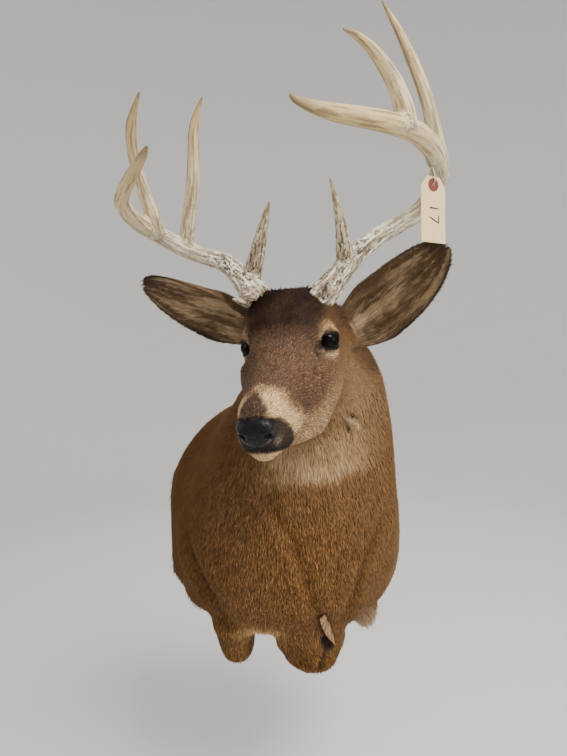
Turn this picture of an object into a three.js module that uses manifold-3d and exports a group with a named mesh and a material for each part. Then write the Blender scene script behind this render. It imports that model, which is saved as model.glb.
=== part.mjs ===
// A whitetail buck's shoulder mount, life size, in millimetres.
// y = 0 is the wall and the deer faces -Y. +X is the deer's own left and +Z is up.
// The origin is the middle of the back board's back face.
import * as THREE from 'three';
import { mergeVertices } from 'three/addons/utils/BufferGeometryUtils.js';
import Module from 'manifold-3d';

const wasm = await Module();
wasm.setup();

// ---------------------------------------------------------------- driving sizes
const GAP = 0.3; // left between pieces that touch

const HEAD_PLACE = new THREE.Vector3(1.2, -307.9, 341.6); // midway between the eyes
const HEAD_TURN = -11.9; // degrees, towards the deer's right
const HEAD_NOD = 15.8; // degrees, nose down
const HEAD_TILT = -2.2; // degrees, ear to shoulder

const RING_SIDES = 36; // round the body
const RING_STEPS = 2; // rings between two stations

const EYE_RADIUS = 17;
const EYE_PLACE = { l: 46.5, a: -4, h: 6 };

const NOSE = { half: 19.5, deep: 13, rise: 15.5, lean: 14, a: 184, h: -33 };

const EAR_LENGTH_STEPS = 7;
const EAR_ACROSS_STEPS = 7;
const EAR_HALF_WIDTH = 42;
const EAR_THICK = 4;
const EAR_ROOT_SHARE = 0.5; // the root's half-width, as a share of the widest
const EAR_WIDEST = 0.4; // how far along it is widest

const BOARD_THICK = 18;
const BOARD_HALF_WIDTH = 186;
const BOARD_TOP = 252;
const BOARD_BOTTOM = -86;
const BOARD_WIDE_AT = 75; // height of its widest place
const BOARD_MIDDLE_X = -4;
const BOARD_SQUARENESS = { above: 2.3, below: 3 }; // 2 is an ellipse
const BOARD_STEPS = 48;

const HANGER = { width: 80, height: 40, thick: 2.5, z: 150 };
const KEYHOLE = { radius: 7, slotWidth: 7, slotRise: 14, below: 7 }; // below the plate's middle
const POCKET = { width: 34, height: 34, depth: 12 };

const TAG = { width: 37, height: 76, thick: 0.8, clip: 9, clipDrop: 12, turn: 28 };
const TAG_TOP = new THREE.Vector3(173, -366, 537.8); // middle of the card's top edge
const PATCH = { radius: 7.5, thick: 0.5, below: 9.5 };
const HOLE_RADIUS = 2.2;
const STRING_RADIUS = 0.6;

// ---------------------------------------------------------------- colours
const finish = (color, roughness, metalness = 0) =>
  new THREE.MeshStandardMaterial({ color, roughness, metalness });
const HIDE = 0x8a6440;
const FACE = 0x6f5238;
const EAR_SKIN = 0xa08a70;
const ANTLER = 0xa79a80;

// ---------------------------------------------------------------- helpers
const radians = THREE.MathUtils.degToRad;
const lerp = THREE.MathUtils.lerp;
const smooth = THREE.MathUtils.smoothstep;

const headMatrix = new THREE.Matrix4()
  .makeRotationFromEuler(new THREE.Euler(radians(HEAD_NOD), radians(HEAD_TILT), radians(HEAD_TURN), 'ZXY'))
  .setPosition(HEAD_PLACE);

// A point of the head, from l to the deer's left, a towards the nose and h up.
function fromHead(l, a, h) {
  return new THREE.Vector3(l, -a, h).applyMatrix4(headMatrix);
}

// A direction of the head, in the same three measures.
function headWay(l, a, h) {
  return new THREE.Vector3(l, -a, h).transformDirection(headMatrix);
}

function toSolid(geometry) {
  const bare = geometry.clone();
  bare.deleteAttribute('normal');
  bare.deleteAttribute('uv');
  const merged = mergeVertices(bare, 1e-4);
  return new wasm.Manifold(
    new wasm.Mesh({
      numProp: 3,
      vertProperties: Float32Array.from(merged.attributes.position.array),
      triVerts: Uint32Array.from(merged.index.array),
    }),
  );
}

function toGeometry(solid) {
  const mesh = solid.getMesh();
  const geometry = new THREE.BufferGeometry();
  geometry.setAttribute('position', new THREE.BufferAttribute(Float32Array.from(mesh.vertProperties), 3));
  geometry.setIndex(new THREE.BufferAttribute(Uint32Array.from(mesh.triVerts), 1));
  return geometry;
}

// The largest body of a solid, which drops crumbs that a cut leaves loose.
function mainBody(solid) {
  return solid.decompose().reduce((best, one) => (one.volume() > best.volume() ? one : best));
}

// Rings of points, all of one length, joined into a closed skin with a fan at each end.
function closedLoft(rings) {
  const sides = rings[0].length;
  const positions = [];
  const index = [];
  for (const p of rings.flat()) positions.push(p.x, p.y, p.z);
  for (let r = 0; r + 1 < rings.length; r++) {
    for (let i = 0; i < sides; i++) {
      const j = (i + 1) % sides;
      const [p, q, s, t] = [r * sides + i, r * sides + j, (r + 1) * sides + i, (r + 1) * sides + j];
      index.push(p, q, s, q, t, s);
    }
  }
  for (const end of [0, rings.length - 1]) {
    const middle = rings[end].reduce((sum, p) => sum.add(p), new THREE.Vector3()).divideScalar(sides);
    const hub = positions.length / 3;
    positions.push(middle.x, middle.y, middle.z);
    for (let i = 0; i < sides; i++) {
      const p = end * sides + i;
      const q = end * sides + ((i + 1) % sides);
      if (end === 0) index.push(hub, q, p);
      else index.push(hub, p, q);
    }
  }
  const geometry = new THREE.BufferGeometry();
  geometry.setAttribute('position', new THREE.Float32BufferAttribute(positions, 3));
  geometry.setIndex(index);
  return geometry;
}

// Halfway values of a row of number lists, on one smooth curve through them.
function along(rows, u) {
  const k = Math.min(Math.floor(u), rows.length - 2);
  const t = u - k;
  const last = rows.length - 1;
  const [r0, r1, r2, r3] = [k - 1, k, k + 1, k + 2].map((i) => rows[Math.min(Math.max(i, 0), last)]);
  return r1.map((_, i) => {
    const slope1 = (r2[i] - r0[i]) / 2;
    const slope2 = (r3[i] - r1[i]) / 2;
    const rise = r2[i] - r1[i];
    const bow = 3 * rise - 2 * slope1 - slope2;
    return r1[i] + slope1 * t + bow * t ** 2 + (slope1 + slope2 - 2 * rise) * t ** 3;
  });
}

// ---------------------------------------------------------------- the body's stations
// A station is one section of the body. Its top and bottom points are on the
// middle line, left and right are its half-widths, wide is how far up from the bottom
// its widest place lies, and the two last numbers square off its upper and lower half.
// Shoulder and neck stations run from the wall to the back of the skull.
const BODY_STATIONS = [
  // top: x, y, z      bottom: x, y, z    left right  wide  upper lower
  [[0, 0, 262], [0, 0, -93], 195, 204, 0.47, 2.2, 3.5],
  [[0, -22, 274], [0, -58, -98], 198, 201, 0.45, 2.0, 3.3],
  [[2, -46, 284], [2, -122, -106], 188, 186, 0.45, 1.9, 2.8],
  [[6, -72, 298], [5, -188, -80], 174, 164, 0.45, 1.8, 2.4],
  [[12, -98, 316], [10, -231, -10], 160, 142, 0.44, 1.8, 2.1],
  [[20, -122, 338], [20, -248, 72], 144, 119, 0.44, 1.85, 2.1],
  [[28, -144, 362], [30, -250, 148], 127, 93, 0.46, 1.95, 2.1],
  [[32, -163, 383], [34, -244, 212], 113, 74, 0.48, 2.0, 2.0],
  [[30, -184, 401], [27, -240, 246], 96, 66, 0.5, 2.1, 1.9],
];

// Head stations, with top and bottom as a towards the nose and h up from between the eyes.
const HEAD_STATIONS = [
  // top: a, h   bottom: a, h   half   wide  upper lower
  [-106, 52, -46, -114, 76, 0.54, 2.2, 2.1],
  [-76, 65, -38, -116, 70, 0.56, 2.6, 2.3],
  [-48, 66, -27, -116, 65, 0.58, 2.8, 2.6],
  [-22, 57, -12, -115, 61, 0.58, 2.6, 2.8],
  [0, 47, 4, -114, 58, 0.57, 2.5, 3.0],
  [22, 37, 22, -112, 54, 0.55, 2.4, 3.1],
  [46, 27, 42, -108, 50, 0.53, 2.3, 3.1],
  [74, 17, 68, -101, 41, 0.52, 2.3, 2.9],
  [104, 10, 98, -91, 32, 0.52, 2.3, 2.6],
  [134, 4, 130, -81, 27.5, 0.53, 2.3, 2.4],
  [158, 0, 154, -76, 25, 0.54, 2.3, 2.3],
  [176, -5, 172, -72, 22.5, 0.52, 2.3, 2.2],
  [188, -11, 183, -62, 19.5, 0.5, 2.2, 2.2],
  [193.5, -22, 190, -50, 11, 0.5, 2.1, 2.1],
];
const LAST_NECK = BODY_STATIONS.length - 1;
const NECK_FROM = 4.5; // station where the trunk becomes the neck
const HEAD_FROM = LAST_NECK + 0.55; // station where the neck becomes the head

const stations = [
  ...BODY_STATIONS.map(([top, bottom, ...rest]) => [...top, ...bottom, 1, 0, 0, ...rest]),
  ...HEAD_STATIONS.map(([topA, topH, lowA, lowH, half, ...rest]) => [
    ...fromHead(0, topA, topH).toArray(),
    ...fromHead(0, lowA, lowH).toArray(),
    ...headWay(1, 0, 0).toArray(),
    half,
    half,
    ...rest,
  ]),
];

const signedPower = (value, power) => Math.sign(value) * Math.abs(value) ** power;

// Soft swellings of each side of the head, in its own measures: how far each one pushes
// the cheek outwards, and how far it spreads along and up.
const HEAD_FORMS = [
  { a: 22, h: 2, out: -8, along: 17, up: 15 }, // the hollow before the eye
  { a: -15, h: 4, out: 6, along: 15, up: 22 }, // the bone behind the eye
  { a: -2, h: 27, out: 4, along: 16, up: 9 }, // the brow
  { a: 26, h: -28, out: 3, along: 26, up: 13 }, // the cheekbone
  { a: -26, h: -70, out: 4, along: 26, up: 24 }, // the jaw muscle
  { a: 168, h: -44, out: 2, along: 14, up: 10 }, // the lips
];
const toHead = headMatrix.clone().invert();

// The small shapes that the sections alone don't give: eye hollows, cheeks and brows.
function sculpt(point) {
  const p = point.clone();
  const inHead = point.clone().applyMatrix4(toHead);
  const sideways = THREE.MathUtils.clamp(inHead.x / 30, -1, 1);
  const push = HEAD_FORMS.reduce((sum, form) => {
    const r2 = ((-inHead.y - form.a) / form.along) ** 2 + ((inHead.z - form.h) / form.up) ** 2;
    return sum + form.out * Math.exp(-r2);
  }, 0);
  return p.add(headWay(sideways * push, 0, 0).multiplyScalar(Math.abs(sideways * push)));
}

function bodyRing(u, grow) {
  const s = along(stations, u);
  const top = new THREE.Vector3(s[0], s[1], s[2]);
  const bottom = new THREE.Vector3(s[3], s[4], s[5]);
  const side = new THREE.Vector3(s[6], s[7], s[8]).normalize();
  const [left, right, wide, upper, lower] = s.slice(9);
  const up = top.clone().sub(bottom);
  const height = up.length();
  up.normalize();
  const ring = [];
  for (let i = 0; i < RING_SIDES; i++) {
    const angle = (2 * Math.PI * i) / RING_SIDES;
    const power = 2 / (Math.sin(angle) > 0 ? upper : lower);
    const half = (Math.cos(angle) > 0 ? left : right) + grow;
    const reach = (Math.sin(angle) > 0 ? (1 - wide) * height : wide * height) + grow;
    const x = half * signedPower(Math.cos(angle), power);
    const y = reach * signedPower(Math.sin(angle), power);
    ring.push(sculpt(bottom.clone().addScaledVector(up, wide * height + y).addScaledVector(side, x)));
  }
  return ring;
}

function bodySolid(grow) {
  const rings = [];
  const last = stations.length - 1;
  for (let k = 0; k <= last * RING_STEPS; k++) rings.push(bodyRing(k / RING_STEPS, grow));
  return toSolid(closedLoft(rings));
}

// The plane of the body's section at station u, as a normal towards the nose and an offset.
function sectionPlane(u) {
  const s = along(stations, u);
  const top = new THREE.Vector3(s[0], s[1], s[2]);
  const bottom = new THREE.Vector3(s[3], s[4], s[5]);
  const side = new THREE.Vector3(s[6], s[7], s[8]).normalize();
  const normal = side.cross(top.clone().sub(bottom)).normalize();
  if (normal.y > 0) normal.negate();
  return { normal, offset: normal.dot(top) };
}

const aheadOf = (solid, plane, shift) => solid.trimByPlane(plane.normal.toArray(), plane.offset + shift);
const behind = (solid, plane, shift) =>
  solid.trimByPlane(plane.normal.clone().negate().toArray(), -plane.offset + shift);

// ---------------------------------------------------------------- what hangs below the chest
// Each stub or flap is a blunt lobe with its lowest middle at x, y, foot. It is as wide
// as across and as deep as deep where it leaves the chest, and leans by lean on its way up.
const LOBES = {
  foreleg_stub_right: { x: -79, y: -128, foot: -149, across: 45, deep: 56, leanX: -8, leanY: 8 },
  foreleg_stub_left: { x: 41, y: -150, foot: -156, across: 72, deep: 58, leanX: 0, leanY: 10 },
  hide_flap_left: { x: 136, y: -38, foot: -134, across: 34, deep: 37, leanX: 0, leanY: 0 },
};
const LOBE_TOP = -30;
const LOBE_FOOT = 0.22; // the foot's width, as a share of the widest
const LOBE_RINGS = 6;
const LOBE_SIDES = 12;
const LOBE_TAPER = 0.6; // under 1 fills out soon above the foot
const LOBE_CROWD = 1.5; // over 1 crowds the rings towards the foot

function lobeSolid(lobe) {
  const rings = [];
  for (let k = 0; k <= LOBE_RINGS; k++) {
    const t = k / LOBE_RINGS; // 0 at the foot
    const share = LOBE_FOOT + (1 - LOBE_FOOT) * t ** LOBE_TAPER;
    const z = lerp(lobe.foot, LOBE_TOP, t ** LOBE_CROWD);
    const ring = [];
    for (let i = 0; i < LOBE_SIDES; i++) {
      const angle = (2 * Math.PI * i) / LOBE_SIDES;
      ring.push(
        new THREE.Vector3(
          lobe.x + lobe.leanX * t + lobe.across * share * Math.cos(angle),
          lobe.y + lobe.leanY * t + lobe.deep * share * Math.sin(angle),
          z,
        ),
      );
    }
    rings.push(ring);
  }
  return toSolid(closedLoft(rings));
}

// ---------------------------------------------------------------- head pieces
function eyeSolid(side, radius) {
  const ball = new THREE.SphereGeometry(radius, 12, 8);
  ball.translate(...fromHead(side * EYE_PLACE.l, EYE_PLACE.a, EYE_PLACE.h).toArray());
  return toSolid(ball);
}

// The bare nose: a rounded pad over the end of the muzzle.
function noseSolid(grow) {
  const pad = new THREE.SphereGeometry(1, 14, 9);
  pad.scale(NOSE.half + grow, NOSE.deep + grow, NOSE.rise + grow);
  pad.rotateX(radians(NOSE.lean));
  pad.translate(0, -NOSE.a, NOSE.h);
  pad.applyMatrix4(headMatrix);
  return toSolid(pad);
}

// An ear is a cupped leaf. Its line runs from root to tip, and it opens along face.
const EARS = {
  left: { root: [50, -84, -3], bend: [132, -92, 26], tip: [205, -104, 104], face: [-0.1, 1, 0.2] },
  right: { root: [-54, -84, 4], bend: [-146, -104, 30], tip: [-240, -134, 82], face: [0, 1, -0.5] },
};
const EAR_ROOT_WRAP = 130; // degrees to each side at the root, where it is nearly a tube
const EAR_TIP_WRAP = 45;

// Half-width of the ear at t from root to tip, as a share of the widest.
function earOutline(t) {
  const rootSide = lerp(EAR_ROOT_SHARE, 1, smooth(t, 0, EAR_WIDEST));
  const past = Math.max(t - EAR_WIDEST, 0) / (1 - EAR_WIDEST);
  const tipSide = Math.sqrt(Math.max(0.004, 1 - past ** 2.4));
  return rootSide * tipSide;
}

function earSolid(ear) {
  const line = new THREE.QuadraticBezierCurve3(
    fromHead(...ear.root),
    fromHead(...ear.bend),
    fromHead(...ear.tip),
  );
  const face = headWay(...ear.face);
  const inner = [];
  const outer = [];
  for (let k = 0; k <= EAR_LENGTH_STEPS; k++) {
    const t = k / EAR_LENGTH_STEPS;
    const centre = line.getPoint(t);
    const tangent = line.getTangent(t);
    const opens = face.clone().addScaledVector(tangent, -face.dot(tangent)).normalize();
    const across = tangent.clone().cross(opens).normalize();
    const wrap = radians(lerp(EAR_ROOT_WRAP, EAR_TIP_WRAP, t ** 0.55));
    const radius = (EAR_HALF_WIDTH * earOutline(t)) / Math.sin(Math.min(wrap, Math.PI / 2));
    const lift = radius * Math.max(0, Math.cos(wrap));
    for (const [row, r] of [[inner, radius], [outer, radius + EAR_THICK]]) {
      const points = [];
      for (let i = 0; i <= EAR_ACROSS_STEPS; i++) {
        const angle = wrap * ((2 * i) / EAR_ACROSS_STEPS - 1);
        points.push(
          centre
            .clone()
            .addScaledVector(across, r * Math.sin(angle))
            .addScaledVector(opens, lift - r * Math.cos(angle)),
        );
      }
      row.push(points);
    }
  }
  // One ring goes up the inside and back down the outside.
  const rings = inner.map((points, k) => [...points, ...outer[k].slice().reverse()]);
  return toSolid(closedLoft(rings));
}

// ---------------------------------------------------------------- antlers
// Each line is a short run of stations of the antler, in the head's measures:
// l to the deer's left, a towards the nose, h up, and the radius there.
const ANTLERS = {
  left: {
    beam: [
      [39, -50, 50, 19], [48, -55, 59, 19.5], [85, -88, 98, 14], [112, -106, 117, 12.5],
      [144, -124, 132, 12], [178, -133, 150, 12], [198, -114, 182, 12], [194, -58, 210, 12],
      [172, 0, 232, 12], [138, 55, 243, 10.7], [91, 112, 251, 8.2], [65, 146, 259, 4.1], [59, 158, 264, 1.8],
    ],
    g1: [[78, -84, 86, 12.5], [75, -74, 110, 10], [75, -65, 139, 7.6], [72, -57, 169, 4.8],
      [67, -49, 200, 1.6]],
    g2: [[201, -106, 186, 12], [199, -107, 220, 10.2], [191, -107, 264, 8.7], [178, -107, 309, 7.8],
      [159, -104, 355, 5.4], [139, -98, 392, 1.6]],
    g3: [[159, 30, 236, 12], [156, 31, 258, 10.2], [146, 35, 285, 8.6], [130, 40, 310, 6.5],
      [115, 45, 325, 4.3], [100, 50, 333, 1.6]],
    kickers: [[[50, -42, 62, 7], [55, -34, 70, 5], [58, -28, 78, 2]]],
  },
  right: {
    beam: [
      [-41, -50, 60, 19], [-48, -55, 69, 19.5], [-87, -98, 100, 13.6], [-120, -118, 112, 11.8],
      [-151, -129, 123, 12.3], [-177, -106, 144, 12.5], [-189, -40, 175, 11.6], [-183, 5, 196, 9.2],
      [-166, 33, 208, 8.5], [-143, 62, 218, 7.6], [-115, 98, 229, 6.2], [-93, 128, 236, 4],
      [-81, 146, 240, 1.6],
    ],
    g1: [[-54, -82, 83, 12.5], [-42, -70, 111, 10.6], [-31, -62, 136, 8.3], [-21, -55, 159, 5.5],
      [-11, -48, 181, 1.6]],
    g2: [[-158, -128, 134, 12], [-152, -128, 159, 10.4], [-137, -127, 209, 9], [-128, -126, 250, 8.3],
      [-119, -121, 290, 6.6], [-99, -112, 323, 1.6]],
    g3: [[-180, -78, 156, 12], [-177, -66, 181, 10.3], [-180, -54, 218, 8.2], [-177, -38, 256, 7.2],
      [-164, -18, 287, 6.4], [-138, 4, 316, 1.6]],
    kickers: [
      [[-54, -40, 70, 7], [-60, -30, 70, 4.5], [-68, -24, 76, 1.6]],
      [[-44, -38, 66, 7], [-44, -28, 66, 5], [-50, -18, 70, 1.6]],
    ],
  },
};
const BURR = { at: 1, flare: 4.5, spread: 0.18 }; // the collar, in stations along the beam
const BEAM_STEPS = 24;
const TINE_STEPS = 7;
const KICKER_STEPS = 4;
const ANTLER_GAP = 0.4; // a facet's flat cuts a little off the gap, so it is a little wider here
const HORN_SIDES = 8;

// A round horn through stations of place and radius, closed at both ends.
function horn(line, steps, sides, swell = () => 0) {
  const rows = line.map(([l, a, h, radius]) => [...fromHead(l, a, h).toArray(), radius]);
  const at = (u) => new THREE.Vector3(...along(rows, u));
  const last = rows.length - 1;
  const normal = new THREE.Vector3(0, 0, 1);
  const rings = [];
  for (let k = 0; k <= steps; k++) {
    const u = (last * k) / steps;
    const way = at(Math.min(u + 0.05, last)).sub(at(Math.max(u - 0.05, 0))).normalize();
    normal.addScaledVector(way, -normal.dot(way)).normalize();
    const other = way.clone().cross(normal);
    const radius = along(rows, u)[3] + swell(u);
    const ring = [];
    for (let i = 0; i < sides; i++) {
      const angle = (2 * Math.PI * i) / sides;
      ring.push(
        at(u)
          .addScaledVector(normal, radius * Math.cos(angle))
          .addScaledVector(other, radius * Math.sin(angle)),
      );
    }
    rings.push(ring);
  }
  return toSolid(closedLoft(rings));
}

function beamSolid(antler, grow) {
  const collar = (u) => BURR.flare * Math.exp(-(((u - BURR.at) / BURR.spread) ** 2));
  return horn(antler.beam, BEAM_STEPS, HORN_SIDES, (u) => collar(u) + grow);
}

// ---------------------------------------------------------------- board and hanger
// The board's outline, set out by grow.
function boardOutline(grow) {
  const shape = new THREE.Shape();
  for (let i = 0; i < BOARD_STEPS; i++) {
    const angle = (2 * Math.PI * i) / BOARD_STEPS;
    const up = Math.sin(angle) > 0;
    const power = 2 / (up ? BOARD_SQUARENESS.above : BOARD_SQUARENESS.below);
    const reach = up ? BOARD_TOP - BOARD_WIDE_AT : BOARD_WIDE_AT - BOARD_BOTTOM;
    const x = BOARD_MIDDLE_X + (BOARD_HALF_WIDTH + grow) * signedPower(Math.cos(angle), power);
    const z = BOARD_WIDE_AT + (reach + grow) * signedPower(Math.sin(angle), power);
    if (i === 0) shape.moveTo(x, z);
    else shape.lineTo(x, z);
  }
  shape.closePath();
  return shape;
}

// A flat shape drawn in x and z, made solid from y = back towards the front.
function plate(shape, thick, back) {
  const geometry = new THREE.ExtrudeGeometry(shape, { depth: thick, bevelEnabled: false, curveSegments: 10 });
  geometry.rotateX(Math.PI / 2);
  geometry.translate(0, back, 0);
  return toSolid(geometry);
}

function rectangle(width, height, z) {
  const shape = new THREE.Shape();
  shape.moveTo(-width / 2, z - height / 2);
  shape.lineTo(width / 2, z - height / 2);
  shape.lineTo(width / 2, z + height / 2);
  shape.lineTo(-width / 2, z + height / 2);
  shape.closePath();
  return shape;
}

function keyholePath() {
  const half = KEYHOLE.slotWidth / 2;
  const centre = HANGER.z - KEYHOLE.below;
  const start = Math.acos(half / KEYHOLE.radius);
  const path = new THREE.Path();
  path.absarc(0, centre, KEYHOLE.radius, start, Math.PI - start, true);
  path.lineTo(-half, centre + KEYHOLE.slotRise);
  path.absarc(0, centre + KEYHOLE.slotRise, half, Math.PI, 0, true);
  path.closePath();
  return path;
}

// ---------------------------------------------------------------- the tag
// The card hangs on a string that goes once round the antler.
const tagMatrix = new THREE.Matrix4().makeRotationZ(radians(TAG.turn)).setPosition(TAG_TOP);

const tagPlate = (shape, thick, back) => plate(shape, thick, back).transform(tagMatrix.toArray());

function cardShape() {
  const { width, height, clip, clipDrop } = TAG;
  const shape = new THREE.Shape();
  shape.moveTo(-width / 2, -height);
  shape.lineTo(width / 2, -height);
  shape.lineTo(width / 2, -clipDrop);
  shape.lineTo(width / 2 - clip, 0);
  shape.lineTo(-width / 2 + clip, 0);
  shape.lineTo(-width / 2, -clipDrop);
  shape.closePath();
  const hole = new THREE.Path();
  hole.absarc(0, -PATCH.below, HOLE_RADIUS, 0, 2 * Math.PI, true);
  shape.holes.push(hole);
  return shape;
}

function patchShape() {
  const shape = new THREE.Shape();
  shape.absarc(0, -PATCH.below, PATCH.radius, 0, 2 * Math.PI, false);
  const hole = new THREE.Path();
  hole.absarc(0, -PATCH.below, HOLE_RADIUS, 0, 2 * Math.PI, true);
  shape.holes.push(hole);
  return shape;
}

// The string's route: its loose end, once round the antler, and down to the card's hole.
const STRING_ROUTE = [
  [162.9, -366.0, 537.6],
  [165.5, -367.0, 542.0],
  [169.5, -366.0, 546.2],
  [176.9, -351.5, 554.2],
  [181.7, -353.6, 553.4],
  [186.4, -355.4, 554.6],
  [190.5, -356.7, 557.8],
  [193.1, -357.1, 562.3],
  [194.0, -356.6, 567.5],
  [193.0, -355.3, 572.5],
  [190.2, -353.2, 576.5],
  [186.2, -350.8, 578.9],
  [181.5, -348.4, 579.3],
  [177.0, -346.3, 577.6],
  [173.3, -344.9, 574.1],
  [171.1, -344.3, 569.4],
  [170.7, -344.7, 564.1],
  [172.2, -345.8, 559.2],
  [175.3, -347.7, 555.4],
  [173.5, -362.5, 549.5],
  [174.6, -367.2, 541.5],
  [174.7, -369.2, 533.2],
  [174.1, -368.1, 529.6],
  [173.1, -366.2, 528.3],
];
const STRING_STEPS = 44;
const STRING_SIDES = 8;
const KNOT_RADIUS = 2.8;

function stringSolid() {
  const section = [];
  for (let i = 0; i < STRING_SIDES; i++) {
    const angle = (2 * Math.PI * i) / STRING_SIDES;
    section.push(new THREE.Vector2(STRING_RADIUS * Math.cos(angle), STRING_RADIUS * Math.sin(angle)));
  }
  const path = new THREE.CatmullRomCurve3(STRING_ROUTE.map((p) => new THREE.Vector3(...p)));
  return toSolid(
    new THREE.ExtrudeGeometry(new THREE.Shape(section), {
      steps: STRING_STEPS,
      bevelEnabled: false,
      extrudePath: path,
    }),
  );
}

// The knot sits behind the card and is too big for its hole.
function knotSolid() {
  const knot = new THREE.SphereGeometry(KNOT_RADIUS, 10, 6);
  knot.translate(0, KNOT_RADIUS + GAP, -PATCH.below);
  knot.applyMatrix4(tagMatrix);
  return toSolid(knot);
}

// ---------------------------------------------------------------- the whole mount
const mount = new THREE.Group();

function addNode(name, solid, material) {
  const mesh = new THREE.Mesh(toGeometry(solid), material);
  mesh.name = name;
  mount.add(mesh);
}

const body = bodySolid(0);
const bodyGrown = bodySolid(GAP);
const neckPlane = sectionPlane(NECK_FROM);
const headPlane = sectionPlane(HEAD_FROM);

const boardRoom = plate(boardOutline(GAP), BOARD_THICK + GAP, GAP);
const trunkWhole = behind(body, neckPlane, GAP / 2).subtract(boardRoom);
addNode('trunk', mainBody(trunkWhole), finish(HIDE, 0.9));
for (const [name, lobe] of Object.entries(LOBES)) {
  addNode(name, mainBody(lobeSolid(lobe).subtract(bodyGrown)), finish(HIDE, 0.9));
}

addNode('neck', mainBody(behind(aheadOf(body, neckPlane, GAP / 2), headPlane, GAP / 2)), finish(HIDE, 0.9));

let head = aheadOf(body, headPlane, GAP / 2).subtract(noseSolid(GAP));
for (const side of [1, -1]) head = head.subtract(eyeSolid(side, EYE_RADIUS + GAP));
addNode('head', mainBody(head), finish(FACE, 0.9));
addNode('nose_pad', noseSolid(0), finish(0x0d0c0c, 0.3));
addNode('eye_left', eyeSolid(1, EYE_RADIUS), finish(0x120c08, 0.05));
addNode('eye_right', eyeSolid(-1, EYE_RADIUS), finish(0x120c08, 0.05));

for (const [side, ear] of Object.entries(EARS)) {
  addNode(`ear_${side}`, mainBody(earSolid(ear).subtract(bodyGrown)), finish(EAR_SKIN, 0.9));
}

for (const [side, antler] of Object.entries(ANTLERS)) {
  let beam = beamSolid(antler, 0);
  for (const kicker of antler.kickers) beam = beam.add(horn(kicker, KICKER_STEPS, HORN_SIDES));
  beam = mainBody(beam.subtract(bodyGrown));
  addNode(`antler_beam_${side}`, beam, finish(ANTLER, 0.6));
  const room = beamSolid(antler, ANTLER_GAP).add(bodyGrown);
  for (const tine of ['g1', 'g2', 'g3']) {
    const solid = mainBody(horn(antler[tine], TINE_STEPS, HORN_SIDES).subtract(room));
    addNode(`antler_${tine}_${side}`, solid, finish(ANTLER, 0.6));
  }
}

const plateRoomShape = rectangle(HANGER.width + 2 * GAP, HANGER.height + 2 * GAP, HANGER.z);
const plateRoom = plate(plateRoomShape, HANGER.thick + 2 * GAP, GAP);
const pocket = plate(rectangle(POCKET.width, POCKET.height, HANGER.z), POCKET.depth, GAP);
const board = plate(boardOutline(0), BOARD_THICK, 0).subtract(plateRoom.add(pocket));
addNode('back_board', board, finish(0xc9a878, 0.7));

const hangerShape = rectangle(HANGER.width, HANGER.height, HANGER.z);
hangerShape.holes.push(keyholePath());
addNode('hanger_plate', plate(hangerShape, HANGER.thick, 0), finish(0x8d9094, 0.4, 0.9));

addNode('tag_card', tagPlate(cardShape(), TAG.thick, 0), finish(0xe8d8b4, 0.8));
addNode('tag_patch', tagPlate(patchShape(), PATCH.thick, -TAG.thick - GAP), finish(0x9a4a3c, 0.8));

addNode('tag_string', stringSolid(), finish(0xe6dfcc, 0.9));
addNode('string_knot', knotSolid(), finish(0xe6dfcc, 0.9));

export default mount;
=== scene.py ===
# %% [markdown]
# # A whitetail buck's shoulder mount
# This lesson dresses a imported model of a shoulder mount: hide, hair, eyes, nose, antlers, tag and
# wooden back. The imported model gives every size, and each piece made here lies where its node lies.
# Lengths are worked out in millimetres, as a taxidermist's tape reads them, and turned into metres
# when a mesh is made.

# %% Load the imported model
import bpy, bmesh, math, time
import numpy as np
from mathutils import Matrix, Vector
from mathutils.kdtree import KDTree


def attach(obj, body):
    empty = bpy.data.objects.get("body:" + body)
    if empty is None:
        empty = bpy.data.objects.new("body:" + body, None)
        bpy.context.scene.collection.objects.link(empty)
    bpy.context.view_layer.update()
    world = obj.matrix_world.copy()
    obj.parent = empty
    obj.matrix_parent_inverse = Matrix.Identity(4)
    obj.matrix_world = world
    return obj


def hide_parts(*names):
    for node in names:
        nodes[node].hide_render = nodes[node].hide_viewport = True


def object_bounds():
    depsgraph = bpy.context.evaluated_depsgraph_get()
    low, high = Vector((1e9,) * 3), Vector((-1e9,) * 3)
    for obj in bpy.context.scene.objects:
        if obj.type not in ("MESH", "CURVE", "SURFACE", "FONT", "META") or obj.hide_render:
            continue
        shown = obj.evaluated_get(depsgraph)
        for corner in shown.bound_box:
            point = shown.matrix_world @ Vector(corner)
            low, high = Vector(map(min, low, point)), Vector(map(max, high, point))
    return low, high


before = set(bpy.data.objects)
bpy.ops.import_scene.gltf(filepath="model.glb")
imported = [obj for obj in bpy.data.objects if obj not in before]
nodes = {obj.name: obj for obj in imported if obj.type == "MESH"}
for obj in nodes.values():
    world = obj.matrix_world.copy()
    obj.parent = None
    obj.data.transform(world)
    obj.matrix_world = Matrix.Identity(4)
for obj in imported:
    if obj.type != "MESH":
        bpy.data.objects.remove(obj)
bpy.context.view_layer.update()
cad_box = [list(corner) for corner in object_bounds()]
started = time.time()


def clock():
    return f"{time.time() - started:.1f} s"


print("nodes", len(nodes), "box", [[round(v, 3) for v in c] for c in cad_box])

# %% [markdown]
# ## The camera
# The camera stands a metre in front of the wall and a quarter of a metre above the board's middle,
# looking slightly down. A 27 mm lens on a 36 mm frame sees a buck the way a phone does.

# %% Camera
CAMERA_PLACE = Vector((-0.013, -1.028, 0.327))
PAN, PITCH, ROLL = -0.83, -1.71, -0.88  # degrees to its left, upward and anticlockwise
LENS = 27.05

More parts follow.
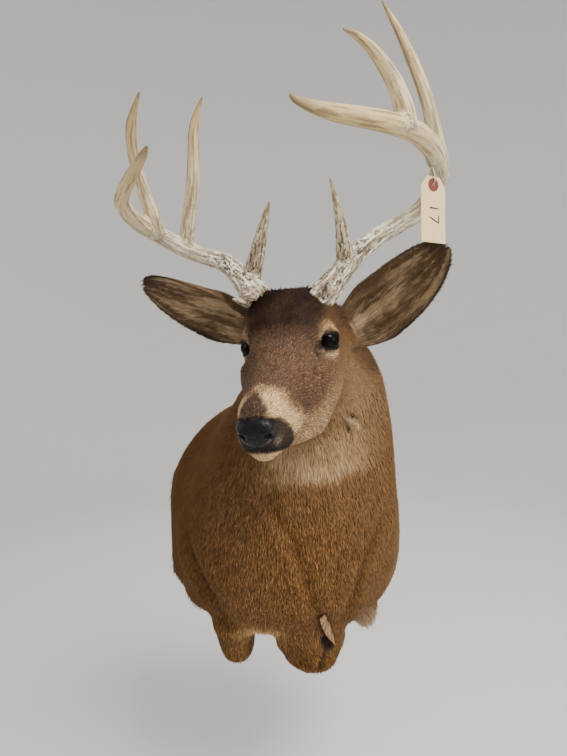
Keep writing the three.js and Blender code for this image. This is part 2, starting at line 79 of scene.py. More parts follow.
camera_data = bpy.data.cameras.new("camera")
camera_data.lens = LENS
camera_data.sensor_width = 36
camera_data.clip_start, camera_data.clip_end = 0.02, 50
camera = bpy.data.objects.new("camera", camera_data)
placed = Matrix.Translation(CAMERA_PLACE)
for axis, degrees in (("Z", PAN), ("X", 90 + PITCH), ("Z", ROLL)):
    placed = placed @ Matrix.Rotation(math.radians(degrees), 4, axis)
camera.matrix_world = placed
bpy.context.scene.collection.objects.link(camera)
bpy.context.scene.camera = camera
print("camera at", [round(v, 3) for v in CAMERA_PLACE])

# %% [markdown]
# ## Small helpers
# Meshes come from arrays of points and faces. Every point array is in millimetres. A grid is a sheet
# of points with rows and columns, and most pieces here start as one.

# %% Helpers for meshes
MM = 0.001
rng = np.random.default_rng(17)


def unit(v):
    return v / np.maximum(np.linalg.norm(v, axis=-1, keepdims=True), 1e-9)


def mix(a, b, t):
    return a + (b - a) * t


def smooth(x, low, high):
    t = np.clip((np.asarray(x, float) - low) / (high - low), 0, 1)
    return t * t * (3 - 2 * t)


def bell(x, middle, spread):
    return np.exp(-(((np.asarray(x, float) - middle) / spread) ** 2))


def steps_of(line):
    """The distance from each point of a line to the next."""
    return np.linalg.norm(np.diff(line, axis=0), axis=1)


def all_round(count):
    """Even angles all the way round, in radians."""
    return 2 * np.pi * np.arange(count) / count


def new_object(name, points, faces):
    """A mesh object from points in millimetres and arrays of faces, one array for each number of corners."""
    mesh = bpy.data.meshes.new(name)
    faces = [np.asarray(f, np.int32) for f in faces]
    corners = np.concatenate([f.ravel() for f in faces])
    sizes = np.concatenate([np.full(len(f), f.shape[1], np.int32) for f in faces])
    mesh.vertices.add(len(points))
    mesh.vertices.foreach_set("co", (np.asarray(points, float) * MM).astype(np.float32).ravel())
    mesh.loops.add(len(corners))
    mesh.loops.foreach_set("vertex_index", corners)
    mesh.polygons.add(len(sizes))
    starts = np.concatenate([[0], np.cumsum(sizes)[:-1]]).astype(np.int32)
    mesh.polygons.foreach_set("loop_start", starts)
    mesh.polygons.foreach_set("use_smooth", np.ones(len(sizes), bool))
    mesh.update(calc_edges=True)
    mesh.validate()
    made = bpy.data.objects.new(name, mesh)
    bpy.context.scene.collection.objects.link(made)
    return made


def read_vertices(obj, what):
    values = np.empty(len(obj.data.vertices) * 3, np.float32)
    obj.data.vertices.foreach_get(what, values)
    return values.reshape(-1, 3).astype(float)


def points_of(obj):
    return read_vertices(obj, "co") / MM


def normals_of(obj):
    return read_vertices(obj, "normal")


def set_points(obj, points):
    obj.data.vertices.foreach_set("co", (points * MM).astype(np.float32).ravel())
    obj.data.update()


def ring_faces(rows, sides):
    """Quads of a closed tube of rows x sides points, numbered row by row."""
    r, i = np.meshgrid(np.arange(rows - 1) * sides, np.arange(sides), indexing="ij")
    j = (i + 1) % sides
    return np.stack([r + i, r + j, r + sides + j, r + sides + i], -1).reshape(-1, 4)


def outward_faces(obj):
    """Turns every face of a closed object outward."""
    made = bmesh.new()
    made.from_mesh(obj.data)
    bmesh.ops.recalc_face_normals(made, faces=made.faces)
    if made.calc_volume(signed=True) < 0:
        bmesh.ops.reverse_faces(made, faces=made.faces)
    made.to_mesh(obj.data)
    made.free()
    return obj


def closed_tube(name, rings):
    """A closed skin through rings[row, side] with a point at each end, its faces outward."""
    rows, sides = rings.shape[:2]
    points = np.concatenate([rings.reshape(-1, 3), rings[0].mean(0)[None], rings[-1].mean(0)[None]])
    i = np.arange(sides)
    j = (i + 1) % sides
    hub, last = rows * sides, (rows - 1) * sides
    start = np.stack([np.full(sides, hub), j, i], -1)
    end = np.stack([np.full(sides, hub + 1), last + i, last + j], -1)
    return outward_faces(new_object(name, points, [ring_faces(rows, sides), start, end]))


def circles_across(way, first, sides):
    """Unit circles across a line that runs along way, carried on without a twist: [point, side]."""
    normal = np.zeros_like(way)
    normal[0] = unit(np.cross(way[0], first))
    for i in range(1, len(way)):
        normal[i] = unit(normal[i - 1] - way[i] * np.dot(normal[i - 1], way[i]))
    other = np.cross(way, normal)
    c, s = np.cos(all_round(sides)), np.sin(all_round(sides))
    return normal[:, None] * c[None, :, None] + other[:, None] * s[None, :, None]


def tube(name, line, radius, sides=10, closed=True):
    """A round tube along a line of points, closed on itself or with closed ends."""
    line = np.asarray(line, float)
    way = np.roll(line, -1, 0) - np.roll(line, 1, 0)
    if not closed:
        way[0], way[-1] = line[1] - line[0], line[-1] - line[-2]
    radius = np.broadcast_to(radius, len(line))[:, None, None]
    grid = line[:, None] + circles_across(unit(way), [0.3, 0.9, 0.2], sides) * radius
    if not closed:
        return closed_tube(name, grid)
    faces = ring_faces(len(line) + 1, sides) % (len(line) * sides)
    return outward_faces(new_object(name, grid.reshape(-1, 3), [faces]))


def joined(obj, piece):
    """Asks for a boolean union of an object with a piece."""
    union = obj.modifiers.new("union", "BOOLEAN")
    union.operation, union.solver, union.object = "UNION", "MANIFOLD", piece


def applied(obj):
    """Turns an object with modifiers into a plain mesh."""
    view = bpy.context.evaluated_depsgraph_get()
    mesh = bpy.data.meshes.new_from_object(obj.evaluated_get(view))
    obj.modifiers.clear()
    old, obj.data = obj.data, mesh
    bpy.data.meshes.remove(old)
    return obj


def colour_attribute(obj, name, values):
    layer = obj.data.color_attributes.new(name, "FLOAT_COLOR", "POINT")
    rgba = np.ones((len(values), 4), np.float32)
    rgba[:, :3] = values
    layer.data.foreach_set("color", rgba.ravel())


def tree_of(points):
    """A search tree of points, numbered in their order."""
    tree = KDTree(len(points))
    for i, p in enumerate(points):
        tree.insert(p, i)
    tree.balance()
    return tree


def noise(points, size, seed=0):
    """Smooth value noise from -1 to 1 at any points, with bumps about size millimetres across."""
    q = np.asarray(points, float) / size + seed * 17.3
    cell = np.floor(q).astype(np.int64)
    f = q - cell
    f = f * f * (3 - 2 * f)
    total = 0
    for corner in np.array(list(np.ndindex(2, 2, 2))):
        # Large odd numbers scatter each cell's place and the seed over all values alike.
        x, y, z = np.moveaxis(cell + corner, -1, 0)
        h = (x * 73856093) ^ (y * 19349663) ^ (z * 83492791) ^ (seed * 2654435)
        h = ((h ^ (h >> 13)) * 1274126177) & 0xFFFFFF
        weight = np.prod(np.where(corner == 1, f, 1 - f), axis=-1)
        total = total + weight * (h / 0x7FFFFF - 1)
    return total


print("helpers ready")

# %% [markdown]
# ## The body's sections
# A shoulder mount is built on a foam form, and a form is a run of sections: wide at the wall, round
# at the neck, and narrow at the muzzle. Each section below has a top and a bottom point, half-widths
# to the deer's left and right, the height of its widest place and how squared its two halves are.
# A cubic curve runs through them, so any number of finer sections can be read off. The packed
# solids use the same sections, coarsely.

# %% Sections from the wall to the nose
HEAD_PLACE = np.array([1.2, -307.9, 341.6])
HEAD_TURN, HEAD_NOD, HEAD_TILT = -11.9, 15.8, -2.2

BODY_STATIONS = [
    # top: x, y, z      bottom: x, y, z    left right  wide  upper lower
    [0, 0, 262, 0, 0, -93, 195, 204, 0.47, 2.2, 3.5],
    [0, -22, 274, 0, -58, -98, 198, 201, 0.45, 2.0, 3.3],
    [2, -46, 284, 2, -122, -106, 188, 186, 0.45, 1.9, 2.8],
    [6, -72, 298, 5, -188, -80, 174, 164, 0.45, 1.8, 2.4],
    [12, -98, 316, 10, -231, -10, 160, 142, 0.44, 1.8, 2.1],
    [20, -122, 338, 20, -248, 72, 144, 119, 0.44, 1.85, 2.1],
    [28, -144, 362, 30, -250, 148, 127, 93, 0.46, 1.95, 2.1],
    [32, -163, 383, 34, -244, 212, 113, 74, 0.48, 2.0, 2.0],
    [30, -184, 401, 27, -240, 246, 96, 66, 0.5, 2.1, 1.9],
]
HEAD_STATIONS = [
    # top: a, h   bottom: a, h   half   wide  upper lower
    [-106, 52, -46, -114, 76, 0.54, 2.2, 2.1],
    [-76, 65, -38, -116, 70, 0.56, 2.6, 2.3],
    [-48, 66, -27, -116, 65, 0.58, 2.8, 2.6],
    [-22, 57, -12, -115, 61, 0.58, 2.6, 2.8],
    [0, 47, 4, -114, 58, 0.57, 2.5, 3.0],
    [22, 37, 22, -112, 54, 0.55, 2.4, 3.1],
    [46, 27, 42, -108, 50, 0.53, 2.3, 3.1],
    [74, 17, 68, -101, 41, 0.52, 2.3, 2.9],
    [104, 10, 98, -91, 32, 0.52, 2.3, 2.6],
    [134, 4, 130, -81, 27.5, 0.53, 2.3, 2.4],
    [158, 0, 154, -76, 25, 0.54, 2.3, 2.3],
    [176, -5, 172, -72, 22.5, 0.52, 2.3, 2.2],
    [188, -11, 183, -62, 19.5, 0.5, 2.2, 2.2],
    [193.5, -22, 190, -50, 11, 0.5, 2.1, 2.1],
]
# Soft swellings of each side of the head: place along a and up h, how far out, spreads of a and h.
HEAD_FORMS = [
    (22, 2, -8, 17, 15), (-15, 4, 6, 15, 22), (-2, 27, 4, 16, 9),
    (26, -28, 3, 26, 13), (-26, -70, 4, 26, 24), (168, -44, 2, 14, 10),
]
LAST_NECK = len(BODY_STATIONS) - 1


def turned(axis, degrees):
    return np.array(Matrix.Rotation(math.radians(degrees), 3, axis))


HEAD_AXES = turned("Z", HEAD_TURN) @ turned("X", HEAD_NOD) @ turned("Y", HEAD_TILT)


def head_way(lah):
    """A direction of the head: l to the deer's left, a towards the nose, h up."""
    return (np.asarray(lah, float) * [1, -1, 1]) @ HEAD_AXES.T


def from_head(lah):
    return head_way(lah) + HEAD_PLACE


def to_head(points):
    return ((np.asarray(points, float) - HEAD_PLACE) @ HEAD_AXES) * [1, -1, 1]


def station_rows():
    """All sections as rows: top, bottom, the way to the left, half-widths left and right, and shape."""
    rows = [[*r[:6], 1, 0, 0, *r[6:]] for r in BODY_STATIONS]
    side = head_way([1, 0, 0])
    for top_a, top_h, low_a, low_h, half, *rest in HEAD_STATIONS:
        top, bottom = from_head([0, top_a, top_h]), from_head([0, low_a, low_h])
        rows.append([*top, *bottom, *side, half, half, *rest])
    return np.array(rows)


def along(rows, u):
    """Values at fractional row numbers u, on one smooth curve through the rows."""
    rows = np.asarray(rows, float)
    u = np.atleast_1d(u)
    k = np.clip(np.floor(u).astype(int), 0, len(rows) - 2)
    t = (u - k)[:, None]
    r0, r1, r2, r3 = (rows[np.clip(k + d, 0, len(rows) - 1)] for d in (-1, 0, 1, 2))
    s1, s2, rise = (r2 - r0) / 2, (r3 - r1) / 2, r2 - r1
    return r1 + s1 * t + (3 * rise - 2 * s1 - s2) * t**2 + (s1 + s2 - 2 * rise) * t**3


STATIONS = station_rows()
print("sections", len(STATIONS), "head axes", np.round(HEAD_AXES, 3).tolist())

# %% Read off fine sections
SIDES = 240


def depth_of_coat(u):
    """How far the skin lies inside the hair's outline, at station u."""
    return mix(4.6, 1.7, smooth(u, LAST_NECK - 0.3, LAST_NECK + 3.5))


def squared(wave, power):
    """A sine or cosine drawn out towards a square corner."""
    return np.sign(wave) * np.abs(wave) ** power


def body_rings(u, sides):
    """Rings of points at stations u, as rings[station, side]."""
    s = along(STATIONS, u)
    inset = depth_of_coat(u)[:, None]
    top, bottom, side = s[:, None, :3], s[:, None, 3:6], unit(s[:, None, 6:9])
    left, right, wide, upper, lower = (s[:, None, i] for i in range(9, 14))
    angle = all_round(sides)[None]
    c, n = np.cos(angle), np.sin(angle)
    height = np.linalg.norm(top - bottom, axis=-1)
    power = 2 / np.where(n > 0, upper, lower)
    half = np.where(c > 0, left, right) - inset
    reach = np.where(n > 0, (1 - wide) * height, wide * height) - inset
    x = half * squared(c, power)
    y = wide * height + reach * squared(n, power)
    p = bottom + unit(top - bottom) * y[..., None] + side * x[..., None]
    lah = to_head(p)
    sideways = np.clip(lah[..., 0] / 30, -1, 1)
    push = sum(out * bell(lah[..., 1], a, spread_a) * bell(lah[..., 2], h, spread_h)
               for a, h, out, spread_a, spread_h in HEAD_FORMS)
    return p + head_way([1, 0, 0]) * (sideways * np.abs(sideways) * push)[..., None]


def fine_stations():
    """Station numbers spaced by length: wide apart on the body and close together on the face."""
    u = np.linspace(0, len(STATIONS) - 1, 4001)
    section = along(STATIONS, u)
    step = steps_of((section[:, :3] + section[:, 3:6]) / 2)
    spacing = mix(3.6, 1.45, smooth(u[1:], LAST_NECK + 0.5, LAST_NECK + 2.2))
    count = np.concatenate([[0], np.cumsum(step / spacing)])
    return np.interp(np.linspace(0, count[-1], int(count[-1])), count, u)


FINE_U = fine_stations()
rings = body_rings(FINE_U, SIDES)
print("fine sections", rings.shape)

# %% [markdown]
# ## Sculpting the skin
# The form gives the big shapes. A taxidermist then tucks the skin at the eyes, nostrils and lips and
# leaves the muscles showing. Here each touch is a soft push along the skin's own normal: a place in
# the head's measures, three spreads and a height. Pushes are mirrored to the other side.

# %% Push tables
# l, a, h, spread l, spread a, spread h, how far out; mirrored
FACE_PUSHES = [
    (50, 26, -2, 12, 10, 7, -4.0),     # tear pit before the eye
    (46, 36, -14, 14, 16, 7, 2.2),     # ridge of the cheekbone
    (30, 60, 8, 12, 26, 8, -2.0),      # hollow beside the nose bone
    (34, 78, -62, 14, 26, 16, -1.6),   # hollow before the jaw muscle
    (50, 10, -96, 16, 34, 10, 2.2),    # edge of the jaw
    (0, -30, 64, 22, 22, 14, 2.5),     # crown of hair between the antlers
    (22, 6, 46, 14, 16, 12, 1.6),      # brow
    (0, 20, 44, 14, 22, 12, -1.4),     # dip of the forehead
    (25, 160, -20, 8, 14, 9, 1.8),     # wing of the nostril
    (24, 166, -46, 9, 16, 6, 2.4),     # upper lip
    (17, 172, -64, 10, 12, 6, -1.4),   # step from lip to chin
    (0, 166, -76, 14, 12, 8, 1.8),     # chin
    (18, 135, -76, 11, 26, 10, 4.2),   # under the lip
    (32, 88, -94, 13, 28, 10, 4.2),    # underside of the jaw
    (46, 36, -106, 15, 28, 12, 5.0),   # angle of the jaw
    (65, -60, -118, 6, 9, 9, -4.0),    # notch behind the jaw
]
# The same columns, for this side only.
RIGHT_PUSHES = [
    (-50, 26, -2, 12, 10, 7, 4.0),    # fills the tear pit, which is shallower on this side
    (-54, 28, -5, 8, 12, 9, 3.0),     # rim of the eye socket
    (-42, 70, -8, 12, 16, 12, -2.8),  # hollow before it
]
# x, y, z, spread x, spread y, spread z, how far out; not mirrored
NECK_PUSHES = [
    (60, -235, 190, 16, 40, 90, 3.0),     # strap muscle, left
    (-22, -235, 190, 16, 40, 90, 2.5),    # strap muscle, right
    (20, -250, 170, 12, 40, 80, -2.2),    # windpipe hollow
    (-70, -190, 150, 9, 60, 80, -3.0),    # crease down the right side
    (118, -170, 60, 12, 60, 70, -2.6),    # crease before the left shoulder
    (150, -110, 20, 40, 60, 70, 4.0),     # left shoulder
    (-150, -100, 20, 40, 60, 70, 4.0),    # right shoulder
    (-45, -235, 5, 10, 50, 45, -2.6),     # brisket fold, right
    (70, -235, 0, 10, 50, 45, -2.4),      # brisket fold, left
    (14, -246, -20, 26, 40, 40, 3.0),     # brisket
]


def grid_normals(grid):
    down = np.gradient(grid, axis=0)
    side = np.roll(grid, -1, 1) - np.roll(grid, 1, 1)
    return unit(np.cross(side, down))


def pushes(points, table, mirrored):
    """How far all pushes of a table move each point."""
    px, py, pz = np.moveaxis(points, -1, 0)
    total = 0
    for x, y, z, dx, dy, dz, out in table:
        for side in (1, -1) if mirrored and x else (1,):
            total = total + out * bell(px, side * x, dx) * bell(py, y, dy) * bell(pz, z, dz)
    return total


# Folds of the hide: a line of points, how wide and how far out; hollows are below 0.
FOLDS = [
    ([(-142, -150, 50), (-139, -168, 21), (-109, -181, -28), (-91, -165, -81)], 12, -6.0),
    ([(-160, -130, 20), (-134, -160, -30), (-112, -150, -80)], 11, 3.0),
    ([(138, -219, 101), (112, -220, 41), (94, -204, -25), (81, -174, -93)], 9, -4.5),
    ([(152, -200, 101), (128, -200, 41), (110, -188, -25), (97, -160, -90)], 10, 3.5),
    ([(-22, -244, 131), (5, -246, 84), (23, -240, 31), (48, -205, -50)], 9, -3.6),
    ([(-42, -244, 131), (-16, -246, 84), (2, -240, 31), (24, -205, -50)], 10, 2.4),
    ([(-72, -208, 232), (-84, -204, 200), (-93, -201, 165)], 7, -3.2),
]


def line_gap(points, line, half=0.0):
    """How far each point lies from a line of straight pieces, or from its edge if it has a half width."""
    least = np.full(points.shape[:-1], np.inf)
    line, half = np.array(line, float), np.broadcast_to(half, len(line))
    for a, b, wide_a, wide_b in zip(line[:-1], line[1:], half[:-1], half[1:]):
        share = np.clip(((points - a) @ (b - a)) / ((b - a) @ (b - a)), 0, 1)
        gap = np.linalg.norm(points - a - share[..., None] * (b - a), axis=-1)
        least = np.minimum(least, gap - mix(wide_a, wide_b, share))
    return least


normal = grid_normals(rings)
outward = np.sign(((rings - rings.mean(1, keepdims=True)) * normal).sum(-1).mean())
out = pushes(to_head(rings), FACE_PUSHES, True) + pushes(to_head(rings), RIGHT_PUSHES, False)
out = out + pushes(rings, NECK_PUSHES, False)
for line, width, depth in FOLDS:
    out = out + depth * bell(line_gap(rings, line), 0, width)
out = out + 1.6 * noise(rings, 46, 3) * (1 - smooth(FINE_U, LAST_NECK, LAST_NECK + 2))[:, None]
rings = rings + normal * (outward * out)[..., None]
print("pushed", round(float(np.abs(out).max()), 2), "mm at most")

# %% [markdown]
# ## Eye openings
# Glass eyes sit in clay, and the skin is tucked round them. The lids are the skin itself, drawn over
# the eyeball outside an almond opening and tucked behind it inside. A separate dark rim covers the
# tucked edge, as the bare lid margin does on the real animal.

# %% Lids drawn over the eyeballs
# Sides are 1 for the deer's left and -1 for its right; places and looks are l, a, h.
EYE_PLACES = {1: np.array([50.0, -11.0, 5.2]), -1: np.array([-45.0, -14.0, 2.0])}
EYE_LOOKS = {1: np.array([0.86, 0.50, 0.06]), -1: np.array([-0.95, 0.28, 0.04])}
EYE_RADIUS = 16.8
EYE_REACH = 42  # how far from an eye's centre its lids may move the skin
LID_THICK, LID_TUCK = 1.5, 4.5  # skin over the eyeball, and how far it turns in behind the opening
OPENING = {"half": 16.6, "upper": {1: 10.0, -1: 7.2}, "lower": 9.0}


def eye_axes(side):
    """Centre, line towards the front corner, up and outward directions of one eye, in millimetres."""
    centre, look, upright = from_head(EYE_PLACES[side]), unit(EYE_LOOKS[side]), [side * 0.05, -0.12, 1.0]
    up = unit(upright - look * np.dot(upright, look))
    front = np.cross(up, look)
    front = front if front[1] > 0 else -front
    return centre, head_way(front), head_way(up), head_way(look)


def beside_eye(points, side):
    """Each point's x towards the eye's front corner, y up and z outward, from the eye's centre."""
    centre, *axes = eye_axes(side)
    away = points - centre
    return [away @ axis for axis in axes]


def opening_height(x, side):
    """Upper and lower edge of the almond at x along the eye, x > 0 towards the front corner."""
    t = np.clip(np.abs(x) / OPENING["half"], 0, 1)
    above = np.maximum(1 - t ** np.where(x > 0, 4.6, 2.0), 0) ** np.where(x > 0, 0.52, 1.1)
    below = np.maximum(1 - t**2.4, 0) ** 0.58
    return OPENING["upper"][side] * above, -OPENING["lower"] * below - 1.0 * smooth(x, 2, OPENING["half"])


def past_lids(x, y, side):
    """How far outside the eye's opening a place beside it lies; below 0 inside."""
    high, low = opening_height(x, side)
    return np.maximum(np.maximum(y - high, low - y), np.abs(x) - OPENING["half"])


def draw_lids(points, side):
    """Moves points in or out from the eye's centre, over the ball or behind it."""
    centre, front, up, look = eye_axes(side)
    away = points - centre
    r = np.linalg.norm(away, axis=-1)
    d = away / np.maximum(r, 1e-6)[..., None]
    facing = d @ look
    x, y = d @ front * EYE_RADIUS, d @ up * EYE_RADIUS
    outside = past_lids(x, y, side)
    # The upper lid swells about 3 mm from its edge and has a crease about 8 mm from it.
    lid = EYE_RADIUS + LID_THICK + 1.2 * bell(outside, 3.2, 2.4) * smooth(y, -2, 4)
    lid = lid - 1.4 * bell(outside, 7.6, 1.5) * smooth(y, 2, 8)
    gap = np.maximum(outside, 0)
    over = np.maximum(r, lid - 0.035 * gap**2)
    drawn = mix(over, lid, np.exp(-((gap / 6.5) ** 2)))
    tucked = EYE_RADIUS - LID_TUCK
    turning = mix(tucked, drawn, outside + 0.4)
    drawn = np.where(outside < -0.4, tucked, np.where(outside < 0.6, turning, drawn))
    use = smooth(facing, 0.12, 0.42) * (np.abs(away @ look) < 60)
    return centre + d * mix(r, drawn, use)[..., None]


for side in (1, -1):
    close = np.linalg.norm(rings - eye_axes(side)[0], axis=-1) < EYE_REACH
    rings[close] = draw_lids(rings[close], side)
print("eyes at", [np.round(eye_axes(s)[0], 1).tolist() for s in (1, -1)])

# %% [markdown]
# ## Ears and the hide below the chest
# An ear is a cupped leaf, nearly a tube at its root and almost flat at its tip. Below the chest hang
# the ends of the hide: two short foreleg stubs and a flap. Each is lofted by itself, then joined to
# the body by a boolean union, so the hide is one skin, and the joint is smoothed as stuffed skin is.

# %% Ears
EARS = {
    "left": {
        "root": [51, -84, -9], "bend": [132, -92, 26], "tip": [205, -104, 104], "face": [-0.1, 1, 0.2]},
    "right": {
        "root": [-54, -84, 4], "bend": [-146, -104, 30], "tip": [-240, -134, 82], "face": [0, 1, -0.5]},
}
EAR_HALF_WIDTH, EAR_THICK, EAR_WIDEST, EAR_ROOT_SHARE = 41.0, 2.6, 0.4, 0.5
EAR_ROOT_WRAP, EAR_TIP_WRAP = 130, 45


def ear_grid(ear, rows, columns):
    """The ear's two faces as grid[face, row, column], inside first, and where each point lies."""
    root, bend, tip = (from_head(ear[k]) for k in ("root", "bend", "tip"))
    face = head_way(ear["face"])
    t = 1 - (1 - np.linspace(0, 1, rows)) ** 1.35
    t = (t * 0.985)[:, None]
    centre = (1 - t) ** 2 * root + 2 * t * (1 - t) * bend + t**2 * tip
    way = unit(2 * (1 - t) * (bend - root) + 2 * t * (tip - bend))
    opens = unit(face - way * (way @ face)[:, None])
    across = unit(np.cross(way, opens))
    t = t[:, 0]
    past = np.maximum(t - EAR_WIDEST, 0) / (1 - EAR_WIDEST)
    outline = mix(EAR_ROOT_SHARE, 1, smooth(t, 0, EAR_WIDEST)) * np.sqrt(np.maximum(0.004, 1 - past**2.4))
    wrap = np.radians(mix(EAR_ROOT_WRAP, EAR_TIP_WRAP, t**0.55))
    radius = EAR_HALF_WIDTH * outline / np.sin(np.minimum(wrap, np.pi / 2))
    lift = radius * np.maximum(0, np.cos(wrap))
    s = np.linspace(-1, 1, columns)[None, :]
    angle = wrap[:, None] * s
    rim = np.sqrt(np.maximum(1 - np.abs(s) ** 6, 0))
    thin = np.minimum(1, (1 - t[:, None]) / 0.06 + 0.25)
    faces = []
    for side in (1, -1):
        r = radius[:, None] + EAR_THICK / 2 + 0.7 - side * EAR_THICK / 2 * rim * thin
        fold = 1.2 * np.cos(angle * 9) * bell(t[:, None], 0.25, 0.22) * np.abs(s) * (side > 0)
        r = r + fold
        p = centre[:, None] + across[:, None] * (r * np.sin(angle))[..., None]
        faces.append(p + opens[:, None] * (lift[:, None] - r * np.cos(angle))[..., None])
    where = np.stack([np.broadcast_to(t[:, None], angle.shape), np.broadcast_to(s, angle.shape)], -1)
    return np.array(faces), where


def ear_object(side):
    inside, outside = ear_grid(EARS[side], 46, 34)[0]
    return closed_tube("ear " + side, np.concatenate([inside, outside[:, ::-1]], axis=1))


ears = [ear_object(side) for side in EARS]
print("ears", [len(ear.data.vertices) for ear in ears])

# %% Stubs and flap
# The right stub, the left stub and the left flap: place and height of the foot, half-widths, lean.
LOBES = [
    {"x": -79, "y": -128, "foot": -149, "across": 45, "deep": 56, "lean_x": -8, "lean_y": 8},
    {"x": 41, "y": -150, "foot": -156, "across": 74, "deep": 58, "lean_x": -12, "lean_y": 10},
    {"x": 136, "y": -38, "foot": -134, "across": 34, "deep": 37, "lean_x": 0, "lean_y": 0},
]
LOBE_TOP, LOBE_FOOT = -30, 0.22  # height of the top, and width of the foot as a share
LOBE_COAT = 3.5  # how far the skin lies inside the hair


def lobe_share(t):
    """A lobe's width at t up its height, as a share of its full width."""
    return LOBE_FOOT + (1 - LOBE_FOOT) * t**0.6


def lobe_object(lobe):
    t = np.linspace(0, 1, 40)[:, None]
    angle = all_round(64)[None]
    share = lobe_share(t) * np.minimum(1, (t / 0.03 + 0.05)) ** 0.5
    x = lobe["x"] + lobe["lean_x"] * t + (lobe["across"] - LOBE_COAT) * share * np.cos(angle)
    y = lobe["y"] + lobe["lean_y"] * t + (lobe["deep"] - LOBE_COAT) * share * np.sin(angle)
    z = np.broadcast_to(mix(lobe["foot"] + 4, LOBE_TOP, t**1.5), x.shape)
    p = np.stack([x, y, z], -1)
    p = p + 2.2 * noise(p, 24, 5)[..., None] * np.array([1, 1, 0.3]) * smooth(t, 0, 0.2)[..., None]
    return closed_tube("lobe", p)


lobes = [lobe_object(lobe) for lobe in LOBES]
print("lobes", len(lobes))

# %% One skin by boolean union
BOARD = {"half": 186, "top": 252, "bottom": -86, "wide": 75, "middle": -4}


def board_ring(sides, grow, y):
    """The back board's outline as a ring of points, set out by grow."""
    c, n = np.cos(all_round(sides)), np.sin(all_round(sides))
    power = 2 / np.where(n > 0, 2.3, 3)
    reach = np.where(n > 0, BOARD["top"] - BOARD["wide"], BOARD["wide"] - BOARD["bottom"]) + grow
    x = BOARD["middle"] + (BOARD["half"] + grow) * squared(c, power)
    z = BOARD["wide"] + reach * squared(n, power)
    return np.stack([x, np.full(sides, float(y)), z], -1)


# The hide turns in at the wall and lies against the board's edge, which leaves room for the board.
pocket = [board_ring(SIDES, grow, y) for grow, y in ((0.4, -18.6), (0.4, -4), (1.2, -1.4))]
rings[0, :, 1] = -2.2
skin = closed_tube("hide", np.concatenate([pocket, rings]))
for piece in ears + lobes:
    joined(skin, piece)
applied(skin)
for piece in ears + lobes:
    bpy.data.objects.remove(piece)
print("skin", len(skin.data.vertices), "points", len(skin.data.polygons), "faces", clock())

# %% Smooth the joints of the skin
SHARP = 0.32  # radians between two faces


def neighbours_mean(points, edges, count):
    total = np.zeros_like(points)
    np.add.at(total, edges[:, 0], points[edges[:, 1]])
    np.add.at(total, edges[:, 1], points[edges[:, 0]])
    return total / count[:, None]


def smooth_near(obj, centres, reach, rounds):
    """Relaxes the skin where two parts meet: near sharp edges inside the given balls."""
    made = bmesh.new()
    made.from_mesh(obj.data)
    sharp = []
    for edge in made.edges:
        if len(edge.link_faces) == 2 and edge.calc_face_angle() > SHARP:
            middle = (edge.verts[0].co + edge.verts[1].co) / 2 / MM
            if any((middle - Vector(c)).length < r for c, r in centres):
                sharp.append(middle)
    edges = np.array([[v.index for v in edge.verts] for edge in made.edges])
    made.free()
    tree = tree_of(sharp)
    points = points_of(obj)
    weight = np.zeros(len(points))
    for i, p in enumerate(points):
        if any(np.linalg.norm(p - c) < r + reach * 2 for c, r in centres):
            weight[i] = math.exp(-((tree.find(p)[2] / reach) ** 2))
    count = np.bincount(edges.ravel(), minlength=len(points)).astype(float)
    weight = (weight * 0.6)[:, None]
    for _ in range(rounds):
        points = mix(points, neighbours_mean(points, edges, count), weight)
    set_points(obj, points)
    return len(sharp)


joints = [(from_head([56, -84, -2]), 34), (from_head([-58, -84, 4]), 34)]
joints += [(np.array([lobe["x"], lobe["y"], -75]), 66) for lobe in LOBES]
print("sharp edges softened", smooth_near(skin, joints, 11, 40), clock())

# %% Open seam
# Between the forelegs the hide's seam has come open: a curled edge, a pit under it and a slit below.
EDGE_LINE = [(52, -207, -49), (58, -198, -69), (64, -186, -86), (72, -178, -104)]
EDGE_HALF = [6.4, 7.0, 5.6, 0.8]
EDGE_POINTS = 14
PIT_LINE = [(57, -186, -95), (62, -182, -107)]
SLIT_LINE = [(62, -181, -107), (56, -181, -115), (49, -182, -126), (45, -177, -141)]


def settled(line, count):
    """Even points along a line, moved in or out to lie on the skin, and the way the skin faces."""
    points, normals = points_of(skin), normals_of(skin)
    fine = along(line, np.linspace(0, len(line) - 1, count))
    near = [np.argmin(np.linalg.norm(points - p, axis=1)) for p in fine]
    facing = unit(normals[near] + normals[near].mean(0))
    return fine + facing * ((points[near] - fine) * facing).sum(1, keepdims=True), facing


edge_line, edge_facing = settled(EDGE_LINE, EDGE_POINTS)
edge_half = np.interp(np.linspace(0, 3, EDGE_POINTS), range(4), EDGE_HALF)
pit_line, slit_line = settled(PIT_LINE, 4)[0], settled(SLIT_LINE, 9)[0]
skin_points = points_of(skin)
pit_gap, slit_gap = line_gap(skin_points, pit_line), line_gap(skin_points, slit_line)
press = 6.5 * bell(pit_gap, 0, 5.5) + 3.6 * bell(slit_gap, 0, 3.0)
set_points(skin, skin_points - normals_of(skin) * press[:, None])
print("open seam pressed in", round(float(press.max()), 1), "mm at most")
